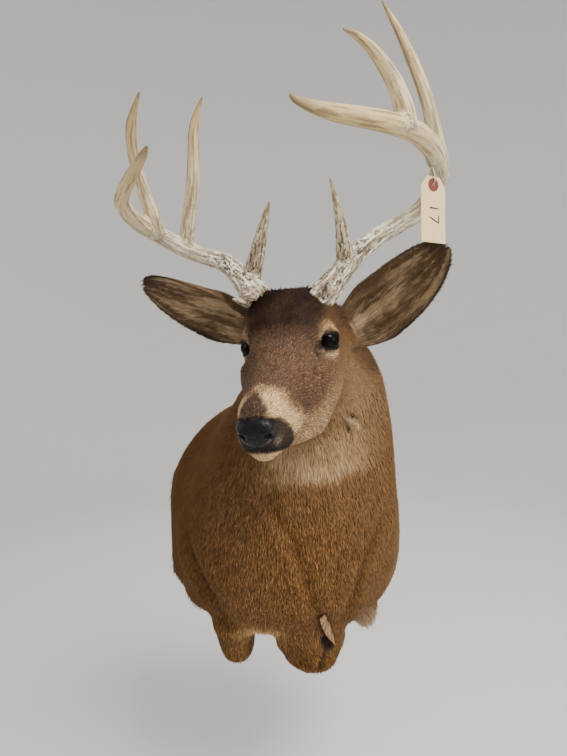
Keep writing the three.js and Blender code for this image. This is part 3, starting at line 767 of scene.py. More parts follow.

# %% [markdown]
# ## Markings
# One rule gives the colour of hide and hair at any place, so both always agree. It starts from the
# warm brown of an autumn coat and lays soft patches over it: a grey-brown face, a dark crown, cream
# round the eyes, on the muzzle band, chin and throat, and black at lips, lids and ear rims. It also
# paints shade down the deer's right side, in the hide's folds, in the open seam and in the upper lids'
# creases, and paints each ear's fold lighter or darker as that ear is lit.

# %% Colours of coat, nose and antlers
NOSE = {"half": 18.9, "deep": 13.0, "rise": 15.1, "lean": 14, "place": np.array([0, 184, -33.0])}
COLOURS = {
    "back": (0.110, 0.048, 0.0105), "chest": (0.142, 0.067, 0.0200), "neck": (0.160, 0.082, 0.032),
    "face": (0.084, 0.046, 0.0275), "crown": (0.015, 0.0046, 0.0014), "cream": (0.470, 0.330, 0.195),
    "throat": (0.300, 0.190, 0.092), "band": (0.560, 0.368, 0.182), "jaw": (0.315, 0.202, 0.103),
    "ochre": (0.520, 0.315, 0.125), "grey": (0.150, 0.118, 0.094), "black": (0.007, 0.005, 0.0045),
    "muzzle": (0.035, 0.019, 0.012), "tear": (0.018, 0.011, 0.008), "ear rim": (0.060, 0.036, 0.023),
    "ear": (0.220, 0.140, 0.075), "ear back": (0.180, 0.110, 0.058), "nose wing": (0.085, 0.062, 0.050),
    "tine": (0.76, 0.62, 0.37), "beam": (0.90, 0.81, 0.60), "ivory": (0.66, 0.48, 0.225),
    "bleached": (1.00, 0.92, 0.73), "earth": (0.46, 0.33, 0.19), "stain": (0.12, 0.072, 0.035),
}
COLOURS = {name: np.array(value) for name, value in COLOURS.items()}


def blob(lah, place, spread):
    """1 at a place on either side of the head, fading with distance."""
    mirrored = np.column_stack([np.abs(lah[:, 0]), lah[:, 1:]])
    return np.exp(-(((mirrored - place) / spread) ** 2).sum(1))


def lay(colour, name, amount):
    """Lays a named colour over others: none of it at 0 and all of it at 1."""
    return mix(colour, COLOURS[name], np.clip(amount, 0, 1)[:, None])


# Notch behind the jaw: colour, line in the head's measures and width.
NOTCH = [
    ("cream", [(64, -60, -115), (72, -63, -123), (79, -61, -130)], 3.4),
    ("crown", [(66, -63, -109), (74, -67, -117)], 2.4),
    ("crown", [(61, -57, -119), (66, -55, -131)], 2.8),
]
# Patches of the head: colour, amount, place, spread, and whether they lie on the left side only.
PATCHES = [
    ("crown", 0.85, (64, -80, 44), (16, 26, 18), True),
    ("crown", 1.1, (69, -104, 36), (13, 22, 17), True),
    ("face", 0.65, (64, -54, 26), (16, 34, 26), False),
    ("face", 0.45, (36, 30, -2), (9, 14, 16), False),
]


def body_colour(p):
    """Neck and body: brown, browner towards the wall, with a pale throat, and painted shade down the deer's
    right side, in the folds' hollows, under the seam's curled edge and in its pit and slit.
    """
    lah = to_head(p)
    rough = noise(p, 30, 1) + 0.5 * noise(p, 11, 2)
    x, y, z = p.T
    chest = bell(x, 15, 105) * smooth(-y, 60, 220) * smooth(-z, -210, -60)
    colour = lay(np.broadcast_to(COLOURS["neck"], p.shape), "chest", chest)
    # Painted shade: the deer's right side, away from the key lamp, is laid in the back's darker brown; the
    # hide also browns towards the wall.
    side = smooth(-x, 10, 140) * smooth(y, -275, -140)
    colour = lay(colour, "back", 0.85 * side + 0.5 * smooth(y, -130, -20) + 0.20 * rough)
    # Painted shade: darker brown and a dark line along the hollow of each fold.
    for line, width in [(line, width) for line, width, depth in FOLDS if depth < 0]:
        fold_shade_gap = line_gap(p, line)
        colour = lay(colour, "back", 0.6 * bell(fold_shade_gap, 0, width * 0.8))
        colour = lay(colour, "crown", 0.34 * bell(fold_shade_gap, 0, width * 0.38))
    colour = lay(colour, "ochre", 1.4 * bell(x, -43, 27) * bell(z, -86, 13) * smooth(rough, -1.6, -0.3))
    colour = lay(colour, "cream", 0.9 * bell(x, 130, 30) * bell(z, -118, 25))
    colour = lay(colour, "back", 0.65 * smooth(x, 0, 25) * (1 - smooth(x, 75, 100)) * smooth(-z, 92, 128))
    # Painted shade under the seam's curled edge, and painted black shadow in the pit and the slit.
    pit, slit = smooth(-line_gap(p, pit_line), -11, -6), smooth(-line_gap(p, slit_line), -5.6, -2.6)
    colour = lay(colour, "crown", 0.55 * smooth(-line_gap(p, edge_line, edge_half), -6, 0))
    colour = lay(colour, "black", 0.95 * np.maximum(pit, 0.8 * slit))
    edge = 159 + 0.20 * (x - 20) + 7 * rough
    throat = smooth(x, -48, -8) * (1 - smooth(x, 90, 142)) * smooth(z, edge, edge + 16)
    throat = throat * smooth(-z, -248, -214) * smooth(-y, 205, 232)
    colour = lay(colour, "throat", 0.95 * throat)
    colour = lay(colour, "cream", 0.55 * throat * bell(x, 48, 40) * bell(z, 180, 16) + 0.35 * throat * rough)
    colour = lay(colour, "jaw", 0.6 * bell(x, 96, 38) * bell(z, 282, 55) * smooth(-y, 120, 200))
    return face_colour(colour, lah, rough)


def face_colour(colour, lah, rough):
    """The head: grey-brown face, pale jaw, dark crown."""
    l, a, h = lah.T
    away = np.abs(l)
    on_head = smooth(a - 0.55 * h, -60, 20) * smooth(h + 0.25 * a, -118, -92)
    front = 1 - 0.7 * smooth(away - 0.10 * (120 - a), 30, 58)
    colour = lay(colour, "face", on_head * front * (0.95 + 0.2 * rough))
    colour = lay(colour, "jaw", on_head * smooth(-h - 0.18 * a, 30, 66) * mix(0.40, 0.88, smooth(a, -30, 60)))
    crown = smooth(0.9 * h - a, -50, 30) * (1 - 0.75 * smooth(np.abs(l + 3), 42, 64)) * smooth(h, 6, 30)
    colour = lay(colour, "crown", crown * 1.05 + 0.2 * rough * crown)
    for name, line, wide in NOTCH:
        colour = lay(colour, name, 1.1 * bell(line_gap(lah, line), 0, wide))
    for name, amount, place, spread, left_only in PATCHES:
        colour = lay(colour, name, amount * blob(lah, place, spread) * ((l > 0) | (not left_only)))
    return muzzle_colour(colour, lah, rough)


# The ends of the band before and behind, as pairs of h and a.
BAND_BACK = [(-75, 92), (-63, 101), (-51, 113), (-27, 143), (-6, 158), (-2, 165)]
BAND_FRONT = [(-75, 100), (-63, 108), (-58, 126), (-30, 166), (-20, 184), (-16, 210)]


def muzzle_colour(colour, lah, rough):
    """The muzzle: pale band, dark wedge and sides, black lips and a white chin."""
    l, a, h = lah.T
    back, front = (np.interp(h, *np.array(row).T) for row in (BAND_BACK, BAND_FRONT))
    back = back + 12 * smooth(-l, 3, 12)
    fine = noise(lah, 3.4, 9) + 0.6 * noise(lah, 1.7, 10)
    band = smooth(a, back - 26 + 6 * rough + 9 * fine, back + 9 + 5 * rough + 5 * fine)
    band = band * smooth(h, -70, -56)
    colour = lay(colour, "band", 0.95 * band * (1 - smooth(a, 196, 202)))
    half = 1.5 + 0.62 * (a - 159) + 2.2 * fine
    wedge = smooth(half - np.abs(l + 3), -4, 4) * smooth(a, 154, 166) * smooth(h, -26, -14)
    side = smooth(a, front - 6 + 3 * fine, front + 5 + 3 * fine) * smooth(a, 120, 132) * smooth(h, -76, -66)
    colour = lay(colour, "muzzle", np.maximum(wedge, side) * 0.95)
    colour = lay(colour, "black", 0.55 * side * (1 - 0.6 * wedge))
    colour = lay(colour, "grey", 0.8 * blob(lah, (20, 184, -45), (4.5, 7, 6)))
    lip_height = h + 0.40 * (192 - a)
    lip = bell(lip_height, -50, 1.5) * smooth(a, 130, 138)
    corner = 0.95 * blob(lah, (22, 135, -69), (7, 13, 5))
    parting = 0.95 * bell(l, 0, 13) * bell(a, 190, 8) * bell(h, -48, 5)
    colour = lay(colour, "black", 1.4 * lip + (corner + parting))
    colour = lay(colour, "band", 0.95 * smooth(-lip_height, 52.5, 56) * smooth(a, 134, 162))
    pad = (lah - NOSE["place"]) / [21.0, 15.5, 18.5]
    return lay(colour, "black", 1 - smooth((pad**2).sum(1), 0.84, 1.04))


def eye_colour(colour, p):
    """Round the eyes: cream rings, ochre above, dark tear line, bare black lids and painted shade in the
    upper lid's crease.
    """
    for side in (1, -1):
        x, y, z = beside_eye(p, side)
        near = smooth(z, -4, 6)
        gap = np.sqrt((x / 1.25) ** 2 + (y + 0.5) ** 2)
        brow = bell(x, 4, 15) * bell(y, 19, 6) + 0.8 * bell(x, 21, 6) * bell(y, 5, 9)
        cream = 0.30 * bell(gap, 18.5, 4.2) + 0.85 * bell(x, 1, 13) * bell(y, -15, 5)
        lid = 0.9 * bell(y - opening_height(x, side)[0], 1.8, 2.0) * (np.abs(x) < 15) * smooth(x, -10, -3)
        colour = lay(colour, "cream", cream * near)
        colour = lay(colour, "throat", 0.8 * brow * near)
        colour = lay(colour, "ochre", 0.95 * bell(x, -3, 8.5) * bell(y, 15, 4.5) * near)
        colour = lay(colour, "muzzle", lid * near)
        colour = lay(colour, "tear", 2.2 * bell(x, 22.5, 6.0) * bell(y, -2.5, 6.0) * near)
        edge = past_lids(x, y, side) + 1.3 * smooth(-x, 3, 9)
        colour = lay(colour, "black", smooth(-edge, -2.6, -1.0) * smooth(z, 0, 6))
        # Painted shade along the upper lid's crease.
        crease = line_gap(np.stack([x, y], -1), [(13, 4), (10.5, 8), (4.5, 14.5), (-0.5, 19.5)])
        colour = lay(colour, "crown", 0.85 * bell(crease, 0, 1.0) * near)
    return colour


EAR_SHAPES = {side: ear_grid(EARS[side], 60, 41) for side in EARS}


def ear_places():
    """For each ear a tree of its points and, for each, t along it, s across it and its face."""
    for side, (grid, where) in EAR_SHAPES.items():
        flat = where.reshape(-1, 2)
        faces = np.repeat([0, 1], len(flat))
        yield side, tree_of(grid.reshape(-1, 3)), np.column_stack([np.tile(flat, (2, 1)), faces])


EAR_TREES = list(ear_places())


# For each ear: how pale its hair is inside and how bright its fold is, both partly painted light and shade as
# each ear is lit, and which way is up across it.
EAR_TONES_AND_LIGHT = {"left": (0.44, 0.66, -1), "right": (0.60, 1.25, 1)}


def ear_colour(colour, p):
    """The ears: streaks of pale hair inside, a fold at the root painted darker on the left ear and lighter on
    the right as each is lit, brown behind, a dark rim.
    """
    for side, tree, flat in EAR_TREES:
        paleness, fold_lighting, up = EAR_TONES_AND_LIGHT[side]
        near = np.flatnonzero((to_head(p)[:, 0] * -up > 48) & (p[:, 2] > 320))
        found = [tree.find(p[i]) for i in near]
        near = near[[gap < 9 for _, _, gap in found]] if found else near
        t, s, face = flat[[k for _, k, gap in found if gap < 9]].T
        flow = np.stack([t * 26, s * 60, 0 * t], -1)
        streak = noise(flow, 9, 6) + 0.6 * noise(flow, 4, 61) + 0.4 * noise(p[near], 5, 7)
        pale = np.clip(paleness + 1.3 * streak - 0.15 * np.abs(s) - 0.35 * smooth(t, 0.5, 0.9), 0, 1)
        inner = mix(COLOURS["ear"] * 0.66, COLOURS["cream"], pale[:, None])
        upper = up * s
        if side == "left":
            folded = 0.8 * smooth(upper, 0.35, 0.8) * (1 - t)
        else:
            folded = smooth(upper - (1 - 1.64 * (0.80 - t)), -0.07, 0.07)
        # Painted light and shade: the fold's brown is darkened on the left ear and lightened on the right.
        inner = mix(inner, COLOURS["ear back"] * fold_lighting, folded[:, None])
        tone = np.where(face[:, None] < 1, inner, COLOURS["ear back"])
        rim = smooth(np.abs(s), 0.84, 0.97) * np.where(upper > 0, smooth(t, 0.5, 0.8), smooth(t, 0.12, 0.4))
        rim = rim + smooth(t, 0.80, 0.97) * smooth(upper, -0.9, 0.6)
        tone = mix(tone, COLOURS["ear rim"], np.clip(rim, 0, 1)[:, None] * 0.93)
        colour[near] = mix(colour[near], tone, smooth(t, 0.04, 0.2)[:, None])
    return colour


def coat_colour(p):
    return np.clip(ear_colour(eye_colour(body_colour(p), p), p), 0, 1)


SKIN_SHADE = 0.74  # the hair's shade on the skin under it
colour_attribute(skin, "coat", coat_colour(points_of(skin)) * SKIN_SHADE)
print("skin coloured", clock())

# %% [markdown]
# ## Shader helpers
# Shader maths reads best as arithmetic. Num wraps a number socket so that + - * and 1 - mask add
# Math nodes. Look makes one material and any other node from its type, settings and socket values.

# %% Shader helpers
class Num:
    """A number socket that takes part in arithmetic."""

    def __init__(self, look, socket):
        self.look, self.socket = look, socket

    def op(self, name, left, right):
        return self.look.num("ShaderNodeMath", {"operation": name}, {0: left, 1: right})

    def __add__(self, other):
        return self.op("ADD", self, other)

    def __sub__(self, other):
        return self.op("SUBTRACT", self, other)

    def __rsub__(self, other):
        return self.op("SUBTRACT", other, self)

    def __mul__(self, other):
        return self.op("MULTIPLY", self, other)

    __radd__, __rmul__ = __add__, __mul__

    def ramp(self, low, high):
        """0 at low and 1 at high, smooth between."""
        return self.look.num("ShaderNodeMapRange", {"interpolation_type": "SMOOTHSTEP"},
                             {"Value": self, "From Min": low, "From Max": high})


class Look:
    """One material: its Principled shader and any other node from a type, settings and values."""

    def __init__(self, name, **sockets):
        self.material = bpy.data.materials.new(name)
        self.material.use_nodes = True
        self.tree = self.material.node_tree
        self.shader = self.tree.nodes["Principled BSDF"]
        self.coords = self.tree.nodes.new("ShaderNodeTexCoord").outputs["Object"]
        for key, value in sockets.items():
            self.set(key.replace("_", " "), value)

    def node(self, kind, settings=None, values=None):
        made = self.tree.nodes.new(kind)
        for key, value in (settings or {}).items():
            setattr(made, key, value)
        for key, value in (values or {}).items():
            self.feed(made.inputs[key], value)
        return made

    def feed(self, socket, value):
        if isinstance(value, Num):
            value = value.socket
        if isinstance(value, bpy.types.NodeSocket):
            self.tree.links.new(value, socket)
        elif hasattr(value, "__len__") and len(value) == 3 and socket.type == "RGBA":
            socket.default_value = (*value, 1)
        else:
            socket.default_value = value

    def num(self, kind, settings=None, values=None, output=0):
        return Num(self, self.node(kind, settings, values).outputs[output])

    def noise(self, scale, detail=3.0, rough=0.55, at=None, stretch=None):
        at = self.coords if at is None else at
        if stretch:
            at = self.node("ShaderNodeMapping", {}, {"Vector": at, "Scale": stretch}).outputs[0]
        values = {"Vector": at, "Scale": scale, "Detail": detail, "Roughness": rough}
        return self.num("ShaderNodeTexNoise", {}, values)

    def blend(self, a, b, amount):
        # Sockets 0, 6 and 7 of a Mix node are the factor and the two colours; output 2 is the colour.
        return self.node("ShaderNodeMix", {"data_type": "RGBA"}, {0: amount, 6: a, 7: b}).outputs[2]

    def attribute(self, name):
        return self.node("ShaderNodeAttribute", {"attribute_name": name}).outputs["Color"]

    def set(self, name, value):
        self.feed(self.shader.inputs[name], value)

    def bump(self, height, strength, distance):
        values = {"Height": height, "Strength": strength, "Distance": distance}
        self.set("Normal", self.node("ShaderNodeBump", {}, values).outputs[0])

    def on(self, *objects):
        for obj in objects:
            obj.data.materials.clear()
            obj.data.materials.append(self.material)


print("shader helpers ready")

# %% [markdown]
# ## The hide's own finish
# Under the hair the skin carries the same colours, a little darker, since the hair throws shade on
# itself. Fine stretched noise stands for the shortest hairs, which are too small to model, with
# painted shade in the gaps between them.

# %% Hide finish
hide = Look("hide", Roughness=0.85, Specular_IOR_Level=0.25)
grain = hide.noise(420, 4, 0.6, stretch=(1.0, 0.45, 0.45))
# Painted shade in the gaps between the finest hairs.
hair_gap_shade = grain.ramp(0.62, 0.32) * 0.55
hide.set("Base Color", hide.blend(hide.attribute("coat"), (0.02, 0.012, 0.008), hair_gap_shade))
hide.bump(grain, 0.5, 0.0012)
hide.on(skin)
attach(skin, "root")
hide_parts("trunk", "neck", "head", "foreleg_stub_right", "foreleg_stub_left", "hide_flap_left",
            "ear_left", "ear_right")
print("hide replaces the nodes of flesh")

# %% [markdown]
# ## Eyes
# A glass eye is a dark brown ball with a wide oval pupil and a clear front. Its colour is nearly
# black, so what makes it alive is the clean highlight, which needs a very smooth surface.

# %% Eyes and lid rims
def ball_grid(rows, sides):
    """A ball of radius 1 as rings round its third axis, with its front pole first."""
    polar = np.pi * (np.arange(rows) + 0.5)[:, None] / rows
    angle = all_round(sides)[None]
    across, upward = np.sin(polar) * np.cos(angle), np.sin(polar) * np.sin(angle)
    return np.stack([across, upward, np.broadcast_to(np.cos(polar), across.shape)], -1)


def make_eye(side, name):
    """A glass ball with a slight bulge in front and its colours round the pupil."""
    centre, front, up, look = eye_axes(side)
    local = ball_grid(56, 72)
    points = centre + (local * EYE_RADIUS) @ np.array((front, up, look))
    points = points + look * (0.9 * bell(local[..., 2], 1, 0.13))[..., None]
    obj = closed_tube(name, points)
    pupil = np.sqrt((local[..., 0] / 0.48) ** 2 + (local[..., 1] / 0.27) ** 2)
    ring = np.sqrt(local[..., 0] ** 2 + local[..., 1] ** 2)
    shade = mix(0.004, 1, smooth(pupil, 0.9, 1.25)) * (1 - smooth(ring, 0.62, 0.78))
    tint = np.array([0.006, 0.004, 0.003]) * shade[..., None] + 0.001
    tint = np.concatenate([tint.reshape(-1, 3), np.full((2, 3), 0.002)])
    colour_attribute(obj, "iris", tint)
    return obj


def over_eye(x, y, side, radius):
    """Points at x and y beside the eye, moved out along the ball to a radius from its centre."""
    centre, front, up, look = eye_axes(side)
    x, y = np.atleast_1d(x)[:, None], np.atleast_1d(y)[:, None]
    z = np.sqrt(EYE_RADIUS**2 - np.minimum(x**2 + y**2, EYE_RADIUS**2 - 1))
    return centre + unit(front * x + up * y + look * z) * radius


def make_rim(side, name):
    """The bare margin of the lids, thickest above and thin at the rear corner."""
    phi = all_round(96)
    x = OPENING["half"] * np.cos(phi)
    high, low = opening_height(x, side)
    line = over_eye(x, np.where(np.sin(phi) >= 0, high, low), side, EYE_RADIUS + 0.9)
    return tube(name, line, mix(1.1, 1.35, smooth(np.sin(phi), -0.2, 0.8)) * mix(1, 0.7, smooth(-x, 4, 14)))


SIDE_WORDS = ((1, "left"), (-1, "right"))
glass = Look("eye glass", Roughness=0.06, Specular_IOR_Level=0.07)
glass.set("Base Color", glass.attribute("iris"))
rim_skin = Look("lid margin", Roughness=0.6, Specular_IOR_Level=0.15, Base_Color=(0.012, 0.009, 0.008))
rim_skin.bump(rim_skin.noise(900), 0.4, 0.0006)
for side, word in SIDE_WORDS:
    eye, rim = make_eye(side, "eye_ball_" + word), make_rim(side, "lid_rim_" + word)
    glass.on(eye)
    rim_skin.on(rim)
    for piece in (eye, rim):
        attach(piece, "root")
    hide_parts("eye_" + word)
print("eyes and rims made")

# %% [markdown]
# ## The nose
# A buck's nose pad is bare, black and finely pebbled, with two comma-shaped nostrils and a groove down
# its middle. It is a squared ball with the nostrils pushed in.

# %% Nose pad
def make_nose():
    """The nose pad, how deep in a nostril each point lies and how far out on its pale outer wing."""
    local = ball_grid(110, 200)
    flat = np.abs(local[..., 0]) ** 2.5 + np.abs(local[..., 1]) ** 2.5 + np.abs(local[..., 2]) ** 2.2
    shape = local / flat[..., None] ** (1 / 2.4)
    x, z, y = np.moveaxis(shape * [NOSE["half"], NOSE["rise"], NOSE["deep"]], -1, 0)
    z = np.where(z < 0, z * 1.30, z)
    x = x * (1 + 0.10 * smooth(z, -4, 10) - 0.34 * smooth(-z, 3, 20))
    front = smooth(y, -2, 7)
    ax = np.abs(x)
    nostril = bell(ax, 12.6, 3.0) * bell(z - 0.30 * (ax - 12), -1.5, 3.0)
    hole = np.maximum(nostril, bell(ax, 16.6, 2.8) * bell(z, -5.0 - 0.5 * (ax - 16), 1.8))
    wing = bell(ax, 12, 5.5) * bell(z, 4.6, 2.6)
    y = y - front * (7.5 * hole**1.3 - 1.1 * wing) - front * 1.3 * bell(x, 0, 1.3) * smooth(-z, -3, 2)
    lean = math.radians(NOSE["lean"])
    c, s = math.cos(lean), math.sin(lean)
    local = np.stack([x, y * c + z * s, z * c - y * s], -1)
    outer = bell(ax, 13.5, 2.8) * bell(local[..., 2], -11, 4.5) * smooth(y, -6, -1)
    obj = closed_tube("nose", from_head(local + NOSE["place"]))
    return obj, *[np.append(share, [0, 0]) for share in (hole, outer)]


nose, hole, outer = make_nose()
leather = np.array([0.0035, 0.0035, 0.0045]) * (1 - 0.9 * smooth(hole, 0.15, 0.6))[:, None]
colour_attribute(nose, "pad", lay(leather, "nose wing", 0.8 * smooth(outer, 0.25, 0.8)))
pad = Look("nose leather", Specular_IOR_Level=0.2)
cells = pad.num("ShaderNodeTexVoronoi", {"feature": "SMOOTH_F1"}, {"Vector": pad.coords, "Scale": 640.0})
pad.set("Base Color", pad.attribute("pad"))
pad.set("Roughness", 0.27 + cells * 0.22)
pad.bump(1 - cells, 0.55, 0.0007)
pad.on(nose)
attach(nose, "root")
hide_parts("nose_pad")
print("nose made")

# %% [markdown]
# ## Antlers
# Each antler is one bone: a beam that sweeps out, back and forward again, with tines standing on it.
# It is lofted as separate horns that run into each other, then a voxel remesh welds them. Grooves
# follow each horn's length and pearls crowd round the burr, so both are pushed out after the weld,
# from each point's own place on its horn.

# %% Antler lines: l, a, h and radius in the head's measures
ANTLERS = {
    "left": {
        "beam": [(39, -50, 50, 17), (48, -55, 59, 17.2), (85, -88, 98, 14), (112, -106, 117, 12.5),
            (144, -124, 132, 12), (178, -133, 150, 12), (198, -114, 182, 12), (194, -58, 210, 12),
            (172, 0, 232, 12), (138, 55, 243, 10.7), (91, 112, 251, 8.2), (65, 146, 259, 4.1),
            (59, 158, 264, 1.8)],
        "brow tine": [(78, -84, 86, 12.5), (75, -74, 110, 10), (75, -65, 139, 7.6), (72, -57, 169, 4.8),
            (67, -49, 200, 1.6)],
        "second tine": [(201, -106, 186, 12), (199, -107, 220, 10.2), (191, -107, 264, 8.7),
            (178, -107, 309, 7.8), (159, -104, 355, 5.4), (139, -98, 392, 1.6)],
        "third tine": [(159, 30, 236, 12), (156, 31, 258, 10.2), (146, 35, 285, 8.6),
            (130, 40, 310, 6.5), (115, 45, 325, 4.3), (100, 50, 333, 1.6)],
        "kicker": [(50, -42, 62, 7), (55, -34, 70, 5), (58, -28, 78, 2)],
    },
    "right": {
        "beam": [(-41, -50, 60, 17), (-48, -55, 69, 17.2), (-87, -98, 100, 13.6),
            (-120, -118, 112, 11.8), (-151, -129, 123, 12.3), (-177, -106, 144, 12.5),
            (-189, -40, 175, 11.6), (-183, 5, 196, 9.2), (-166, 33, 208, 8.5), (-143, 62, 218, 7.6),
            (-115, 98, 229, 6.2), (-93, 128, 236, 4), (-81, 146, 240, 1.6)],
        "brow tine": [(-54, -82, 83, 12.5), (-42, -70, 111, 10.6), (-31, -62, 136, 8.3),
            (-21, -55, 159, 5.5), (-11, -48, 181, 1.6)],
        "second tine": [(-158, -128, 134, 12), (-152, -128, 159, 10.4), (-137, -127, 209, 9),
            (-128, -126, 250, 8.3), (-119, -121, 290, 6.6), (-99, -112, 323, 1.6)],
        "third tine": [(-180, -78, 156, 12), (-177, -66, 181, 10.3), (-180, -54, 218, 8.2),
            (-177, -38, 256, 7.2), (-164, -18, 287, 6.4), (-138, 4, 316, 1.6)],
        "kicker": [(-51, -41, 55, 6.5), (-59, -31, 59, 3.6), (-68, -23, 66, 2.2)],
        "burr point": [(-48, -44, 66, 7), (-54, -40, 69, 5), (-58, -38, 71, 2.4)],
        "second kicker": [(-44, -38, 66, 7), (-44, -28, 66, 5), (-50, -18, 70, 1.6)],
    },
}

# %% Make the antlers
BURR_FLARE = 1.4
HORN_SIDES = 30


def horn_rings(line, burr):
    """Rings of one horn, and the length run and radius at each."""
    rows = np.array([[*from_head(p[:3]), p[3]] for p in line])
    u = np.linspace(0, len(rows) - 1, int(sum(steps_of(rows[:, :3])) / 3.2))
    s = along(rows, u)
    middle, radius = s[:, :3], s[:, 3] + (BURR_FLARE * bell(u, 1, 0.17) if burr else 0)
    around = circles_across(unit(np.gradient(middle, axis=0)), [0, 1, 0.1], HORN_SIDES)
    length = np.append(0, np.cumsum(steps_of(middle)))
    return middle[:, None] + around * radius[:, None, None], length, radius


def make_antler(side, parts):
    """The welded antler with, for each of its points, the marks of the nearest places on its horns."""
    places, marks, first = [], [], None
    for name, line in parts.items():
        grid, length, radius = horn_rings(line, name == "beam")
        horn = closed_tube("horn", grid)
        length, radius, angle = length[:, None], radius[:, None], all_round(HORN_SIDES)[::2]
        row = [length, np.cos(angle) * radius, np.sin(angle) * radius, length / length[-1]]
        marks.append(np.stack(np.broadcast_arrays(*row, float(name == "beam")), -1).reshape(-1, 5))
        places.append(grid[:, ::2].reshape(-1, 3))
        if first is None:
            first = horn
            continue
        joined(first, horn)
        applied(first)
        bpy.data.objects.remove(horn)
    weld = first.modifiers.new("weld", "REMESH")
    weld.mode, weld.voxel_size = "VOXEL", 0.0015
    relax = first.modifiers.new("relax", "SMOOTH")
    relax.factor, relax.iterations = 0.5, 9
    applied(first)
    first.name = "antler_" + side
    tree, marks = tree_of(np.concatenate(places)), np.concatenate(marks)
    near = []
    for p in points_of(first):
        found = tree.find_n(p, 6)
        weight = np.array([1 / (gap**2 + 0.3) for _, _, gap in found])
        near.append(weight @ marks[[k for _, k, _ in found]] / weight.sum())
    return first, np.array(near)


def finish_antler(side, parts):
    """One antler with its grooves, pearls and colours."""
    obj, near = make_antler(side, parts)
    points, normals = points_of(obj), normals_of(obj)
    length, across, upward, share, beam = near.T
    wrapped = np.stack([across / 2.6, upward / 2.6, length / 26], -1)
    groove = noise(wrapped, 1, 11) + 0.5 * noise(wrapped * [2, 2, 1.4], 1, 12)
    from_burr = np.linalg.norm(points - from_head(np.array(parts["beam"][1][:3])), axis=-1)
    rough = 1 - smooth(from_burr, 40, 190)
    pearl = np.maximum(noise(points, 3.1, 21), 0) ** 0.8 + 0.5 * np.maximum(noise(points, 2.2, 22), 0)
    burr = 1 - smooth(from_burr, 18, 36)
    height = mix(0.42, 0.62, rough) * groove * (1 - 0.6 * share) + 0.8 * pearl * rough**1.5
    height = height + burr * (1.5 * noise(points, 5.0, 23) + 0.4)
    set_points(obj, points + normals * height[:, None])
    colour = lay(np.broadcast_to(COLOURS["tine"], points.shape), "beam", beam)
    colour = lay(colour, "ivory", smooth(share, 0.25, 0.85))
    colour = lay(colour, "bleached", 0.85 * rough)
    colour = lay(colour, "earth", 0.55 * (1 - beam) * rough)
    colour = colour * (1 + 0.10 * noise(points, 22, 31) + 0.06 * groove)[:, None]
    tip = 0.65 * smooth(share, 0.89, 1.0) * smooth(from_burr, 40, 80)
    shade = np.maximum(0.55 * smooth(-groove, 0.0, 0.9) * mix(0.4, 0.8, rough) * (1 - 0.5 * share), tip)
    colour_attribute(obj, "bone", np.clip(lay(colour, "stain", shade), 0, 1))
    colour_attribute(obj, "along", wrapped * [1, 1, 3.2] * 0.1 + 0.5)
    reach = 230 if side == "left" else mix(230, 165, beam)
    aged = (1 - smooth(from_burr, 70, reach)) * (1 - 0.25 * share)
    colour_attribute(obj, "age", aged[:, None])
    return obj


antler_bone = Look("antler bone")
along_horn, age = antler_bone.attribute("along"), Num(antler_bone, antler_bone.attribute("age"))
fine = antler_bone.noise(900, 4, 0.6)
streaks = antler_bone.noise(9.5, 5, 0.64, at=along_horn)
stained = streaks.ramp(0.500, 0.445) * (age * 0.97 + 0.03)
tone = antler_bone.blend(antler_bone.attribute("bone"), (0.030, 0.015, 0.008), stained)
weathered = antler_bone.noise(6, 4, 0.6, at=along_horn, stretch=(1, 1, 0.22))
tone = antler_bone.blend(tone, (0.19, 0.125, 0.062), weathered.ramp(0.55, 0.39) * 0.78)
antler_bone.set("Base Color", antler_bone.blend(tone, (0.20, 0.14, 0.09), fine.ramp(0.6, 0.34) * 0.10))
antler_bone.set("Roughness", 0.42 + fine * 0.3)
antler_bone.bump(streaks + fine * 0.3, 0.5, 0.0012)
for side, parts in ANTLERS.items():
    antler = finish_antler(side, parts)
    antler_bone.on(antler)
    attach(antler, "root")
    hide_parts(*[f"antler_{part}_{side}" for part in ("beam", "g1", "g2", "g3")])
    print("antler", side, len(antler.data.polygons), "faces")

# %% [markdown]
# ## The tag and its string
# A card tag hangs from the left antler on a soft cotton string. The string is limp, passes once
# round the beam and down through the card's hole to a knot behind it. It is a tube along the
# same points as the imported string, with the two twisted strands pressed into its section.

# %% String
STRING_ROUTE = [
    (162.9, -366.0, 537.6), (165.5, -367.0, 542.0), (169.5, -366.0, 546.2), (176.9, -351.5, 554.2),
    (181.7, -353.6, 553.4), (186.4, -355.4, 554.6), (190.5, -356.7, 557.8), (193.1, -357.1, 562.3),
    (194.0, -356.6, 567.5), (193.0, -355.3, 572.5), (190.2, -353.2, 576.5), (186.2, -350.8, 578.9),
    (181.5, -348.4, 579.3), (177.0, -346.3, 577.6), (173.3, -344.9, 574.1), (171.1, -344.3, 569.4),
    (170.7, -344.7, 564.1), (172.2, -345.8, 559.2), (175.3, -347.7, 555.4), (173.5, -362.5, 549.5),
    (174.6, -367.2, 541.5), (174.7, -369.2, 533.2), (174.1, -368.1, 529.6), (173.1, -366.2, 528.3),
]
STRING_DIAMETER = 1.2
STRING_SIDES, TWIST = 12, 4.2  # points round the string, and millimetres for one turn of its strands
string_line = along(STRING_ROUTE, np.linspace(0, len(STRING_ROUTE) - 1, 240))
string_length = float(steps_of(string_line).sum())


def twisted_string():
    around = circles_across(unit(np.gradient(string_line, axis=0)), [0, 1, 0.2], STRING_SIDES)
    length = np.linspace(0, string_length, len(string_line))[:, None]
    strands = np.abs(np.cos(all_round(STRING_SIDES)[None] - length * 2 * np.pi / TWIST))
    radius = STRING_DIAMETER / 2 * (0.74 + 0.26 * strands)
    return closed_tube("string", string_line[:, None] + around * radius[..., None])


string = twisted_string()
print("string", round(string_length, 1), "mm long")

